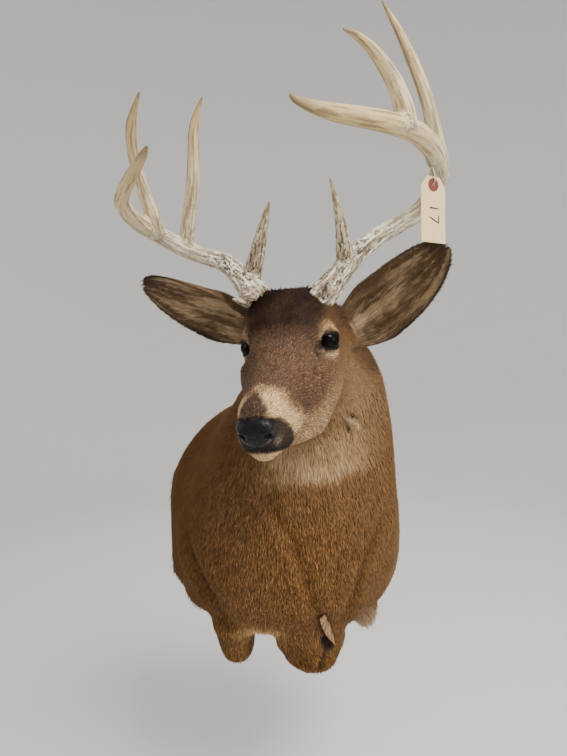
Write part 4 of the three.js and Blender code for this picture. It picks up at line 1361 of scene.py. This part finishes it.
# %% Knot behind the card
TAG = {"top": np.array([173, -366, 537.8]), "turn": 28, "hole": 9.5}
TAG_AXES = turned("Z", TAG["turn"])


def on_tag(points):
    """From the card's own x across, y through and z up to the part's frame."""
    return np.asarray(points, float) @ TAG_AXES.T + TAG["top"]


def knot_line(middle, size):
    """A trefoil, the simplest knot that closes on itself."""
    t = all_round(90)
    loop = np.stack([np.sin(t) + 2 * np.sin(2 * t), -np.sin(3 * t) * 1.1, np.cos(t) - 2 * np.cos(2 * t)], -1)
    return on_tag(loop * size + middle)


knot = tube("knot", knot_line(np.array([0, 3.1, -TAG["hole"]]), 0.72), 0.62)
cotton = Look("cotton string", Roughness=0.95)
fuzz = cotton.noise(1800, 3)
cotton.set("Base Color", cotton.blend((0.66, 0.60, 0.48), (0.36, 0.31, 0.23), fuzz.ramp(0.55, 0.35)))
cotton.bump(fuzz, 0.6, 0.0004)
cotton.on(string, knot)
for piece, node in ((string, "tag_string"), (knot, "string_knot")):
    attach(piece, "root")
    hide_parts(node)
path = [tuple(p * MM) for p in string_line[::3]] + [tuple(string_line[-1] * MM)]
tuple(string_line[8] * MM)
print("knot made")

# %% Card, patch and a plain number
card_look = Look("manila card", Roughness=0.75)
mottle = card_look.noise(60, 4)
fibre = card_look.noise(1400, 3, stretch=(1, 1, 0.25))
soiled = mottle.ramp(0.3, 0.75) * 0.6 + fibre * 0.2
card_look.set("Base Color", card_look.blend((0.80, 0.61, 0.33), (0.66, 0.47, 0.24), soiled))
card_look.bump(fibre, 0.25, 0.0003)
card_look.on(nodes["tag_card"])
patch_look = Look("patch fibre", Roughness=0.8)
flecks = patch_look.noise(900, 3)
patch_look.set("Base Color", patch_look.blend((0.20, 0.040, 0.026), (0.11, 0.022, 0.016), flecks))
patch_look.on(nodes["tag_patch"])
INK_TOP, INK_FOOT = -0.95, -0.81  # how far the ink stands in front of the card's middle


def pen_stroke(name, corners):
    """A pen line on the card's face: a flat ribbon through corner points of the card."""
    line = np.array(corners, float)
    t = np.linspace(0, len(line) - 1, 10 * len(line))
    line = np.stack([np.interp(t, range(len(line)), line[:, i]) for i in (0, 1)], -1)
    way = unit(np.gradient(line, axis=0))
    side = np.stack([-way[:, 1], way[:, 0]], -1) * (0.75 + 0.15 * np.sin(t * 5))[:, None]
    edges = [(line - side, INK_TOP), (line + side, INK_TOP), (line + side, INK_FOOT), (line - side, INK_FOOT)]
    return closed_tube(name, on_tag(np.stack([np.insert(edge, 1, y, axis=1) for edge, y in edges], 1)))


ink = Look("pen ink", Base_Color=(0.012, 0.012, 0.016), Roughness=0.5)
strokes = [
    pen_stroke("pen_one", [(-6, -36), (8, -36.5)]),
    pen_stroke("pen_seven", [(8, -44), (8, -53), (-6, -47)]),
]
for stroke in strokes:
    ink.on(stroke)
    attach(stroke, "root")
print("tag made")

# %% [markdown]
# ## The wooden back
# The form is screwed to a plywood back, and a keyhole plate let into it takes the wall screw. The
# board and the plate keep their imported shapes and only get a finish. Screws and staples repeat, so
# Geometry Nodes put them in place.

# %% Plywood and zinc
ply = Look("plywood", Roughness=0.7)
wood = ply.node("ShaderNodeMapping", {}, {"Vector": ply.coords, "Scale": (9.0, 9.0, 1.1)}).outputs[0]
figure = ply.num("ShaderNodeTexWave", {"wave_type": "BANDS", "bands_direction": "X"},
                 {"Vector": wood, "Scale": 2.4, "Distortion": 9.0, "Detail": 3.0, "Detail Scale": 1.4}, 1)
pores = ply.noise(260, 3, stretch=(1, 1, 0.06))
dark_wood = figure.ramp(0.25, 0.9) * 0.55 + pores.ramp(0.62, 0.35) * 0.35
ply.set("Base Color", ply.blend((0.52, 0.35, 0.19), (0.30, 0.175, 0.085), dark_wood))
ply.bump(pores, 0.3, 0.0006)
ply.on(nodes["back_board"])
zinc = Look("zinc plate", Metallic=1.0)
brushed = zinc.noise(500, 3, stretch=(0.05, 1, 1))
zinc.set("Base Color", zinc.blend((0.55, 0.55, 0.56), (0.36, 0.36, 0.37), brushed))
zinc.set("Roughness", 0.28 + brushed * 0.3)
zinc.on(nodes["hanger_plate"])
print("board and plate finished")

# %% [markdown]
# ## The coat
# Deer hair is short and lies close, back from the nose, down the neck and towards the wall. Each tuft
# here is a thin folded vane: three points across its root, three across its middle and one tip.
# Roots are scattered over the skin by area, closer together on the face and ears, and each vane takes
# its colour from the marking rule at its root. The map named OFBake gives every vane a small patch at
# its root's place on an unwrap of the skin, which is simply the number of the section and the angle
# round it, with the ears and stubs beside it.

# %% Unwrap of the skin
def reference_points():
    """Points over the whole skin and, for each, u and v on the unwrap, t, s and which ear's face.

    Faces 0 to 3 are the inside and outside of the left ear and of the right; -1 is the body, -2 a lobe.
    """
    places, maps = [], []

    def add(grid, *columns):
        places.append(grid.reshape(-1, 3))
        maps.append(np.stack(np.broadcast_arrays(*columns), -1).reshape(-1, 5))

    body = rings[::2, ::2]
    rows, columns = body.shape[:2]
    add(body, np.linspace(0, 0.995, columns)[None], np.linspace(0, 0.78, rows)[:, None], 0, 0, -1)
    for n, (grid, where) in enumerate(EAR_SHAPES.values()):
        t, s = where[..., 0], where[..., 1]
        for face in (2 * n, 2 * n + 1):
            add(grid[face - 2 * n], 0.02 + 0.25 * face + 0.21 * (s + 1) / 2, 0.80 + 0.12 * t, t, s, face)
    angle, rise = np.linspace(0, 2 * np.pi, 48, endpoint=False)[:, None], np.linspace(0, 1, 30)[None]
    for n, lobe in enumerate(LOBES):
        x = lobe["x"] + (lobe["across"] - 3) * lobe_share(rise) * np.cos(angle)
        y = lobe["y"] + (lobe["deep"] - 3) * lobe_share(rise) * np.sin(angle)
        z = lobe["foot"] + (LOBE_TOP - 30 - lobe["foot"]) * rise**1.5 + 0 * angle
        add(np.stack([x, y, z], -1), 0.02 + 0.32 * n + 0.28 * angle / 6.3, 0.93 + 0.06 * rise, 0, 0, -2)
    return np.concatenate(places), np.concatenate(maps)


ref_points, ref_maps = reference_points()
ref_tree = tree_of(ref_points)
print("unwrap points", len(ref_points))

# %% Scatter the roots
def head_share(lah, first, last):
    """1 on the head and 0 on neck and body; first and last say where it starts behind the crown."""
    _, a, h = lah.T
    return smooth(a - 0.55 * h, first, last) * smooth(h + 0.25 * a, -126, -100)


TUFTS = 244000  # before those in the openings are left out
LAST_ROOT = -1.5  # no root nearer the wall, on the turned-in edge


def skin_triangles(obj):
    obj.data.calc_loop_triangles()
    tris = np.empty(len(obj.data.loop_triangles) * 3, np.int32)
    obj.data.loop_triangles.foreach_get("vertices", tris)
    return tris.reshape(-1, 3)


def eye_gap(p, side):
    """How far outside one eye's opening each point lies, for points on the eye's side of the head."""
    x, y, z = beside_eye(p, side)
    return np.where(z > 4, past_lids(x, y, side), 99)


def lid_hair(p):
    """1 for the very short hair beside the lids, 0 away from them."""
    return 1 - smooth(np.minimum(eye_gap(p, 1), eye_gap(p, -1)), 2, 11)


def how_dense(p):
    """Tufts for each square millimetre, against 1 on the body."""
    lah = to_head(p)
    x, y, z = p.T
    dense = mix(1.0, 1.8 + 1.0 * smooth(lah[:, 1], 90, 150), head_share(lah, -110, -40))
    dense = np.where((np.abs(lah[:, 0]) > 78) & (z > 330), 1.9, dense)
    dense = dense * (1 + 0.8 * lid_hair(p))
    at_board = (y > -20) & (np.abs(x - BOARD["middle"]) < BOARD["half"] - 2)
    at_board &= (z > BOARD["bottom"] + 2) & (z < BOARD["top"] - 2)
    torn = (line_gap(p, pit_line) < 7.5) | (line_gap(p, slit_line) < 3.8)
    under_edge = line_gap(p, edge_line, edge_half) < -0.5
    return np.where((y > LAST_ROOT) | at_board | torn | under_edge, 0, dense)


def in_opening(p):
    """True inside the eye openings and under the nose pad, where no hair grows."""
    hidden = np.zeros(len(p), bool)
    for side in (1, -1):
        centre, _, _, look = eye_axes(side)
        away = p - centre
        hidden |= (np.linalg.norm(away, axis=1) < EYE_RADIUS + 0.9) & (away @ look > 0)
        hidden |= eye_gap(p, side) < 1.2
    l, a, h = (to_head(p) - NOSE["place"]).T
    return hidden | ((l / 20.5) ** 2 + (a / 14.5) ** 2 + (h / np.where(h < 0, 19.5, 15.5)) ** 2 < 1.0)


def scatter(obj, total):
    """Random roots on the skin and the skin's normal at each."""
    points, normals, tris = points_of(obj), normals_of(obj), skin_triangles(obj)
    a, b, c = (points[tris[:, i]] for i in range(3))
    area = np.linalg.norm(np.cross(b - a, c - a), axis=1) / 2
    weight = area * how_dense((a + b + c) / 3)
    pick = rng.choice(len(tris), total, p=weight / weight.sum())
    r1, r2 = np.sqrt(rng.random(total)), rng.random(total)
    share = np.stack([1 - r1, r1 * (1 - r2), r1 * r2], -1)[..., None]
    root = (points[tris[pick]] * share).sum(1)
    normal = unit((normals[tris[pick]] * share).sum(1))
    keep = ~in_opening(root)
    return root[keep], normal[keep]


roots, root_normals = scatter(skin, TUFTS)
nearest = np.array([ref_tree.find(p)[1] for p in roots])
root_maps = ref_maps[nearest]
print("roots", len(roots), clock())

# %% The lie of the coat
def lie_of_coat(p, n, maps):
    """Which way each hair runs from root to tip, along the skin."""
    lah = to_head(p)
    l, _, h = lah.T
    low = smooth(-p[:, 2], 60, 110)[:, None]
    to_wall, down = np.array([0, 0.72, -0.72]), np.array([0, 0.12, -1.0])
    way = mix(to_wall, down, np.maximum(low, smooth(-n[:, 1:2], 0.15, 0.85)))
    way[:, 0] += 0.2 * np.tanh(p[:, 0] / 90) + 0.5 * bell(p[:, 0], 5, 45) * low[:, 0]
    outward = 0.10 * np.sign(l) * smooth(np.abs(l), 4, 40)
    back = np.stack([outward, 0 * l - 1, -0.55 * smooth(-h, -10, 60)], -1)
    way = mix(way, head_way(back), head_share(lah, -118, -40)[:, None])
    spread = 0.42 * maps[:, 3:4] * (1 - 0.6 * smooth(maps[:, 2:3], 0.5, 1.0))
    for number, ear in enumerate(EARS.values()):
        along_ear = unit(from_head(ear["tip"]) - from_head(ear["root"]))
        across = unit(np.cross(along_ear, head_way(ear["face"])))
        way = np.where(maps[:, 4:] // 2 == number, along_ear + across * spread, way)
    way[:, 1] *= smooth(-p[:, 1], 4, 44)
    way = unit(way - n * (way * n).sum(1, keepdims=True))
    swirl = 0.17 * noise(p, 34, 41) + 0.12 * noise(p, 8, 42) + 0.10 * rng.standard_normal(len(p))
    return unit(way * np.cos(swirl)[:, None] + np.cross(n, way) * np.sin(swirl)[:, None])


def hair_sizes(p, maps):
    """Length, width, lift of the middle and lift of the tip for every tuft, in millimetres."""
    lah = to_head(p)
    x, y, z = p.T
    _, a, h = lah.T
    on_head = head_share(lah, -118, -30)
    short = smooth(a, 60, 160)
    size = {
        "length": mix(8.8, mix(7.0, 3.4, short), on_head),
        "width": mix(1.08, mix(0.90, 0.58, short), on_head),
        "lift": mix(1.9, mix(1.1, 0.5, short), on_head),
    }

    def change(amount, **wanted):
        for name, value in wanted.items():
            size[name] = mix(size[name], value, amount)

    # Crown, then throat.
    change(smooth(h, 34, 56) * smooth(-a, 0, 40) * on_head, length=13.5, lift=5.4)
    change(bell(x, 45, 60) * bell(z, 188, 30) * smooth(-y, 205, 232), length=21)
    # Ears: long and loose inside, short outside.
    ear, t, s = maps[:, 4], maps[:, 2], np.abs(maps[:, 3])
    inside = mix(24, 8, smooth(t, 0.25, 0.9)) * (1 - 0.7 * smooth(s, 0.55, 0.95))
    change(ear >= 0, length=np.where(ear % 2 == 0, inside, 5.5), width=0.75,
           lift=np.where(ear % 2 == 0, mix(2.8, 0.8, smooth(s, 0.6, 0.95)), 0.8))
    # The edge at the wall, and two places where it is loose.
    change(smooth(y, -26, -4) * (1 - on_head) * (ear < 0), length=19, lift=4.5)
    for place in ((-182, -75, -18), (-150, -108, -56)):
        change(bell(np.linalg.norm(p - place, axis=1), 0, 24), length=19, lift=8)
    # Fringe between the stubs, fluff under the left shoulder, and the jaw.
    change(bell(x, -43, 30) * bell(z, -86, 14), length=20, lift=4)
    change(bell(x, 138, 30) * bell(z, -118, 28), length=22, lift=8)
    change(on_head * smooth(-h, 88, 104) * (1 - smooth(a, 70, 120)), length=13)
    # The open seam, the notch behind the jaw and the lids.
    seam_gap, pit_gap = line_gap(p, edge_line, edge_half), line_gap(p, pit_line)
    change(np.maximum(smooth(-seam_gap, -13, -6), smooth(-pit_gap, -20, -11)), length=5.0, lift=0.9)
    change(bell(line_gap(lah, NOTCH[0][1]), 0, 8), length=4.0, lift=0.6)
    change(lid_hair(p), length=2.8, width=0.55, lift=0.45)
    # Round the burrs and behind them.
    change(blob(lah, (42, -54, 58), (22, 22, 20)) * (ear < 0), length=15, lift=7)
    change(blob(lah, (61, -84, 31), (13, 22, 14)) * (ear < 0), length=23, lift=15)
    vary = np.exp(0.20 * rng.standard_normal(len(p)))
    lift = size["lift"] * np.exp(0.3 * rng.standard_normal(len(p)))
    return size["length"] * vary, size["width"] * np.sqrt(vary), lift


tuft_way = lie_of_coat(roots, root_normals, root_maps)
tuft_length, tuft_width, tuft_lift = hair_sizes(roots, root_maps)
root_colour = coat_colour(roots)
print("tuft length", np.round(np.percentile(tuft_length, [5, 50, 95]), 1), "mm", clock())

# %% Make the vanes
VANE_FOLD, ROOT_DEPTH, ROOT_WIDTH = 0.28, 0.7, 0.7  # share of the width, millimetres, share of the width
MIDDLE_ALONG, MIDDLE_LIFT, TIP_LIFT = 0.48, 0.62, 0.80  # shares of the length and of the lift
WALL = -0.4  # no hair reaches nearer the wall


def vane_points(i):
    """Seven points for each of the given tufts."""
    p, n, d = roots[i], root_normals[i], tuft_way[i]
    length, width, lift = (x[i][:, None] for x in (tuft_length, tuft_width, tuft_lift))
    fold = n * width * VANE_FOLD
    half = np.cross(d, n) * width / 2
    root = p - n * ROOT_DEPTH
    middle = p + d * length * MIDDLE_ALONG + n * lift * MIDDLE_LIFT
    rows = [root - half * ROOT_WIDTH, root + fold, root + half * ROOT_WIDTH,
            middle - half, middle + fold, middle + half, p + d * length + n * lift * TIP_LIFT]
    points = np.stack(rows, 1)
    points[..., 1] = np.minimum(points[..., 1], WALL)
    return points


# Corners of a vane's two quads and two triangles, its patch on the map, and its brightness from root to
# tip on the body and on the face: darker at the root, as painted shade among the hairs, and paler at
# the tip.
QUADS, TIPS = np.array([[0, 1, 4, 3], [1, 2, 5, 4]]), np.array([[3, 4, 6], [4, 5, 6]])
PATCH = np.array([[0, 0], [0.5, 0], [1, 0], [0, 0.5], [0.5, 0.5], [1, 0.5], [0.5, 1]]) * 0.003
BODY_SHADE = np.array([0.68, 0.68, 0.68, 0.98, 0.98, 0.98, 1.18])
FACE_SHADE = np.array([0.58, 0.58, 0.58, 0.98, 0.98, 0.98, 1.55])
MOST_TUFTS = 32500  # in one piece, which keeps it under 200,000 triangles


def make_coat(name, i):
    """One piece of the coat from the numbers of its tufts."""
    count = len(i)
    base = (np.arange(count) * 7)[:, None, None]
    quads, tips = (base + QUADS).reshape(-1, 4), (base + TIPS).reshape(-1, 3)
    obj = new_object(name, vane_points(i).reshape(-1, 3), [quads, tips])
    a = to_head(roots[i])[:, 1]
    shade = mix(BODY_SHADE, FACE_SHADE, smooth(a, -40, 40)[:, None])
    salt = 0.14 + 0.28 * smooth(a, -60, 20) + 0.10 * (root_maps[i, 4] >= 0)
    vary = np.exp(salt * rng.standard_normal(count) + 0.08 * noise(roots[i], 5, 51))
    tone = root_colour[i][:, None] * (shade * vary[:, None])[..., None]
    colour_attribute(obj, "coat", np.clip(tone.reshape(-1, 3), 0, 1))
    spots = root_maps[i][:, None, :2] + PATCH[None]
    layer = obj.data.uv_layers.new(name="OFBake")
    corners = np.concatenate([quads.ravel(), tips.ravel()])
    layer.data.foreach_set("uv", spots.reshape(-1, 2)[corners].astype(np.float32).ravel())
    return obj


hair = Look("hair", Roughness=0.62, Specular_IOR_Level=0.14)
hair.set("Base Color", hair.attribute("coat"))


def coat_groups():
    """Names of the coat's pieces and the tufts in each, in order along the body."""
    on_head = head_share(to_head(roots), -110, -40) > 0.5
    ear = root_maps[:, 4] >= 0
    for name, chosen in (("coat_ears", ear), ("coat_head", ~ear & on_head), ("coat_body", ~ear & ~on_head)):
        members = np.flatnonzero(chosen)
        members = members[np.argsort(root_maps[members, 1])]
        for n, part in enumerate(np.array_split(members, math.ceil(len(members) / MOST_TUFTS))):
            yield f"{name}_{n + 1}", part


for name, members in coat_groups():
    coat = make_coat(name, members)
    hair.on(coat)
    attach(coat, "root")
    print(name, len(members), "tufts")
print("coat made", clock())

# %% [markdown]
# ## Curled edge of the seam
# Where the seam is open the hide's edge curls up and shows its pale skin side. It is a thin sheet laid
# along the seam, lifted on its free side, and it ends in a point.

# %% Curled edge
def make_edge():
    """A thin sheet along the seam, as a closed skin over and under it."""
    way = unit(np.gradient(edge_line, axis=0))
    across = unit(np.cross(way, edge_facing))
    across = across * np.sign(across[:, :1])
    v = np.linspace(-1, 1, 11)[None, :, None]
    lift = 1.2 + 4.2 * smooth(-v, -0.4, 1.0) - 0.8 * smooth(v, 0.5, 1.0)
    middle, half = edge_line[:, None], edge_half[:, None, None]
    over = middle + across[:, None] * half * v + edge_facing[:, None] * (lift + 0.5 * np.sin(5 * v + 1))
    under = over - edge_facing[:, None] * 1.3
    return closed_tube("seam_edge", np.concatenate([over, under[:, ::-1]], axis=1))


seam_edge = make_edge()
raw = Look("skin side", Roughness=0.8)
fibre = raw.noise(210, 4, 0.62, stretch=(1.0, 1.0, 0.3))
raw.set("Base Color", raw.blend((0.33, 0.190, 0.088), (0.10, 0.048, 0.020), fibre.ramp(0.52, 0.40)))
raw.bump(fibre, 0.6, 0.001)
raw.on(seam_edge)
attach(seam_edge, "root")
print("seam edge", len(seam_edge.data.polygons), "faces")

# %% [markdown]
# ## Lashes
# A row of short dark lashes stands on each upper lid, curving out and down.

# %% Lashes
def make_lashes(side, name, count=22):
    """A row of lashes on one upper lid, as one object."""
    front, up, look = eye_axes(side)[1:]
    parts = []
    for x in np.linspace(-0.32, 0.52, count) * OPENING["half"]:
        root = over_eye(x, opening_height(x, side)[0] + 0.6, side, EYE_RADIUS + 1.2)[0]
        way = unit(look * 0.9 + up * 0.30 + front * (0.03 * x) + 0.12 * rng.standard_normal(3))
        reach = rng.uniform(2.2, 3.4)
        t = np.linspace(0, 1, 6)[:, None]
        line = root + way * reach * t - up * (0.42 * reach) * t**2
        parts.append(tube("lash", line, 0.20 * (1 - 0.8 * t[:, 0]), 5, closed=False))
    with bpy.context.temp_override(active_object=parts[0], selected_editable_objects=parts):
        bpy.ops.object.join()
    parts[0].name = name
    return parts[0]


for side, word in SIDE_WORDS:
    lashes = make_lashes(side, "lashes_" + word)
    rim_skin.on(lashes)
    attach(lashes, "root")
print("lashes made")

# %% [markdown]
# ## Staples and screws
# What repeats is placed by one node tree: it walks a path at an even spacing, puts a copy of a piece
# at every step, turned to the path, and gives the copies their material. The hide's edge is stapled
# to the board all round, and two screws hold the hanger plate.

# %% Node tree that repeats a piece along a path
def repeat_tree():
    tree = bpy.data.node_groups.new("repeat along path", "GeometryNodeTree")
    tree.interface.new_socket("Geometry", in_out="OUTPUT", socket_type="NodeSocketGeometry")
    kinds = {"Path": "Geometry", "Piece": "Object", "Spacing": "Float", "Turn": "Float", "Seed": "Int",
             "Material": "Material"}
    for label, kind in kinds.items():
        tree.interface.new_socket(label, in_out="INPUT", socket_type="NodeSocket" + kind)
    (given, out, back, about_y, curve, steps, piece, tangent, place, real, paint,
     align, swing, extra, rotate) = (
        tree.nodes.new(kind) for kind in [
            "NodeGroupInput", "NodeGroupOutput", "ShaderNodeMath", "ShaderNodeCombineXYZ",
            *["GeometryNode" + kind for kind in (
                "MeshToCurve", "ResampleCurve", "ObjectInfo", "InputTangent", "InstanceOnPoints",
                "RealizeInstances", "SetMaterial")],
            *["FunctionNode" + kind for kind in (
                "AlignRotationToVector", "RandomValue", "EulerToRotation", "RotateRotation")]])
    steps.mode, rotate.rotation_space, back.operation = "LENGTH", "LOCAL", "MULTIPLY"
    align.axis, align.pivot_axis = "Z", "Y"
    back.inputs[1].default_value = -1.0
    # Each copy swings about the path's normal by a random angle between -Turn and Turn.
    for giver, output, taker, value in (
            (given, "Path", curve, "Mesh"), (curve, 0, steps, "Curve"), (given, "Spacing", steps, "Length"),
            (given, "Piece", piece, "Object"), (tangent, 0, align, "Vector"), (given, "Turn", back, 0),
            (back, 0, swing, 2), (given, "Turn", swing, 3), (given, "Seed", swing, "Seed"),
            (swing, 1, about_y, "Y"), (about_y, 0, extra, 0), (align, 0, rotate, "Rotation"),
            (extra, 0, rotate, "Rotate By"), (steps, 0, place, "Points"),
            (piece, "Geometry", place, "Instance"), (rotate, 0, place, "Rotation"), (place, 0, real, 0),
            (real, 0, paint, "Geometry"), (given, "Material", paint, "Material"), (paint, 0, out, 0)):
        tree.links.new(giver.outputs[output], taker.inputs[value])
    return tree


def repeated(name, tree, path, piece, spacing, turn, seed, look):
    """One finished object: copies of the piece along the path, made real."""
    values = {"Piece": piece, "Spacing": spacing * MM, "Turn": turn, "Seed": seed, "Material": look.material}
    walk = path.modifiers.new("repeat", "NODES")
    walk.node_group = tree
    for item in tree.interface.items_tree:
        if item.in_out == "INPUT" and item.name in values:
            walk[item.identifier] = values[item.name]
    bpy.context.view_layer.update()
    mesh = bpy.data.meshes.new_from_object(path.evaluated_get(bpy.context.evaluated_depsgraph_get()))
    made = bpy.data.objects.new(name, mesh)
    bpy.context.scene.collection.objects.link(made)
    path.modifiers.remove(walk)
    bpy.data.objects.remove(path)
    bpy.data.objects.remove(piece)
    return made


def path_object(points, closed):
    mesh = bpy.data.meshes.new("path")
    count = len(points)
    edges = [(i, (i + 1) % count) for i in range(count if closed else count - 1)]
    mesh.from_pydata([tuple(p) for p in np.asarray(points) * MM], edges, [])
    obj = bpy.data.objects.new("path", mesh)
    bpy.context.scene.collection.objects.link(obj)
    return obj


def staple_piece():
    """Crown of a wire staple, 10 mm across the path, its two legs going in."""
    right = [(3, -0.15, 0), (4.6, -0.25, 0), (5, -0.7, 0), (5, -4, 0)]
    line = [(-x, y, z) for x, y, z in reversed(right)] + right
    return tube("staple", line, 0.42, 8, closed=False)


def lathe(radius, height, sides):
    """Rings round the z axis from a profile."""
    c, s = np.cos(all_round(sides)), np.sin(all_round(sides))
    return np.stack(np.broadcast_arrays(radius[:, None] * c, radius[:, None] * s, height[:, None]), -1)


def screw_piece():
    """Flat head of a wood screw with a cross slot, its shank going in."""
    radius = np.array([1.2, 1.4, 1.4, 3.6, 3.7, 3.5, 2.0, 1.0])
    depth = np.array([-9.0, -8.0, -3.4, -0.9, -0.3, 0.15, 0.30, 0.34])
    x, z, y = np.moveaxis(lathe(radius, depth, 40), -1, 0)
    slot = np.maximum(bell(x, 0, 0.45), bell(z, 0, 0.45)) * (np.hypot(x, z) < 2.4)
    return closed_tube("screw", np.stack([x, y - 0.9 * slot * (y > 0), z], -1))


walker = repeat_tree()
steel = Look("staple steel", Base_Color=(0.46, 0.46, 0.45), Metallic=1.0, Roughness=0.35)
STAPLE_SPACING, SCREW_INSET = 46, 8
rim_path = path_object(board_ring(120, 1.0, 0.0), True)
staples = repeated("staples", walker, rim_path, staple_piece(), STAPLE_SPACING, 0.22, 5, steel)
plate = nodes["hanger_plate"]
plate_box = np.array([plate.matrix_world @ Vector(corner) for corner in plate.bound_box]) / MM
low, high = plate_box.min(0), plate_box.max(0)
screw_places = [(x, high[1], (low[2] + high[2]) / 2) for x in (low[0] + SCREW_INSET, high[0] - SCREW_INSET)]
plate_path = path_object(screw_places, False)
screw_gap = high[0] - low[0] - 2 * SCREW_INSET
screws = repeated("hanger_screws", walker, plate_path, screw_piece(), screw_gap, 0.6, 8, steel)
for obj, slot in ((staples, "board"), (screws, "hanger")):
    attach(obj, "root")
print("staples and screws", len(staples.data.polygons), len(screws.data.polygons), "faces")

# %% [markdown]
# ## Floor and light
# A pale floor curves up all round into a pale wall, like a studio cove. A big soft lamp hangs above
# and in front, with weaker ones at the sides and behind.

# %% Stage
def cove(sides=96):
    """A round floor, in metres: 2.6 from its middle to its bend and 3.8 to its wall."""
    bend = np.linspace(0.1, np.pi / 2, 10)
    radius = np.concatenate([np.linspace(0.0002, 2.6, 8), 2.6 + 1.2 * np.sin(bend), [3.8, 3.8]])
    height = np.concatenate([np.zeros(8), 1.2 - 1.2 * np.cos(bend), [3.4, 6.0]])
    points = lathe(radius, height, sides).reshape(-1, 3) + [0, -0.2, -0.46]
    return new_object("floor", points / MM, [ring_faces(len(radius), sides)])


floor = cove()
pale = Look("pale floor", Base_Color=(0.70, 0.69, 0.67), Roughness=0.9)
pale.on(floor)


def lamp(name, place, aim, size, power, colour=(1, 1, 1)):
    data = bpy.data.lights.new(name, "AREA")
    data.shape, data.size, data.energy, data.color = "DISK", size, power, colour
    made = bpy.data.objects.new(name, data)
    made.location = place
    made.rotation_euler = (Vector(aim) - Vector(place)).to_track_quat("-Z", "Y").to_euler()
    bpy.context.scene.collection.objects.link(made)


MIDDLE = (0.0, -0.25, 0.30)
lamp("key", (0.9, -1.6, 2.2), MIDDLE, 1.2, 88, (1, 0.97, 0.92))
lamp("fill", (1.9, -1.6, 0.9), MIDDLE, 1.5, 26, (1, 0.98, 0.95))
lamp("side", (-2.3, -0.6, 0.9), MIDDLE, 1.4, 9)
lamp("back light", (0.6, 2.2, 1.8), MIDDLE, 1.6, 22)
world = bpy.data.worlds.new("world")
world.use_nodes = True
sky = world.node_tree.nodes["Background"]
sky.inputs["Color"].default_value = (0.93, 0.95, 1.0, 1)
sky.inputs["Strength"].default_value = 0.75
bpy.context.scene.world = world
print("stage set", clock())
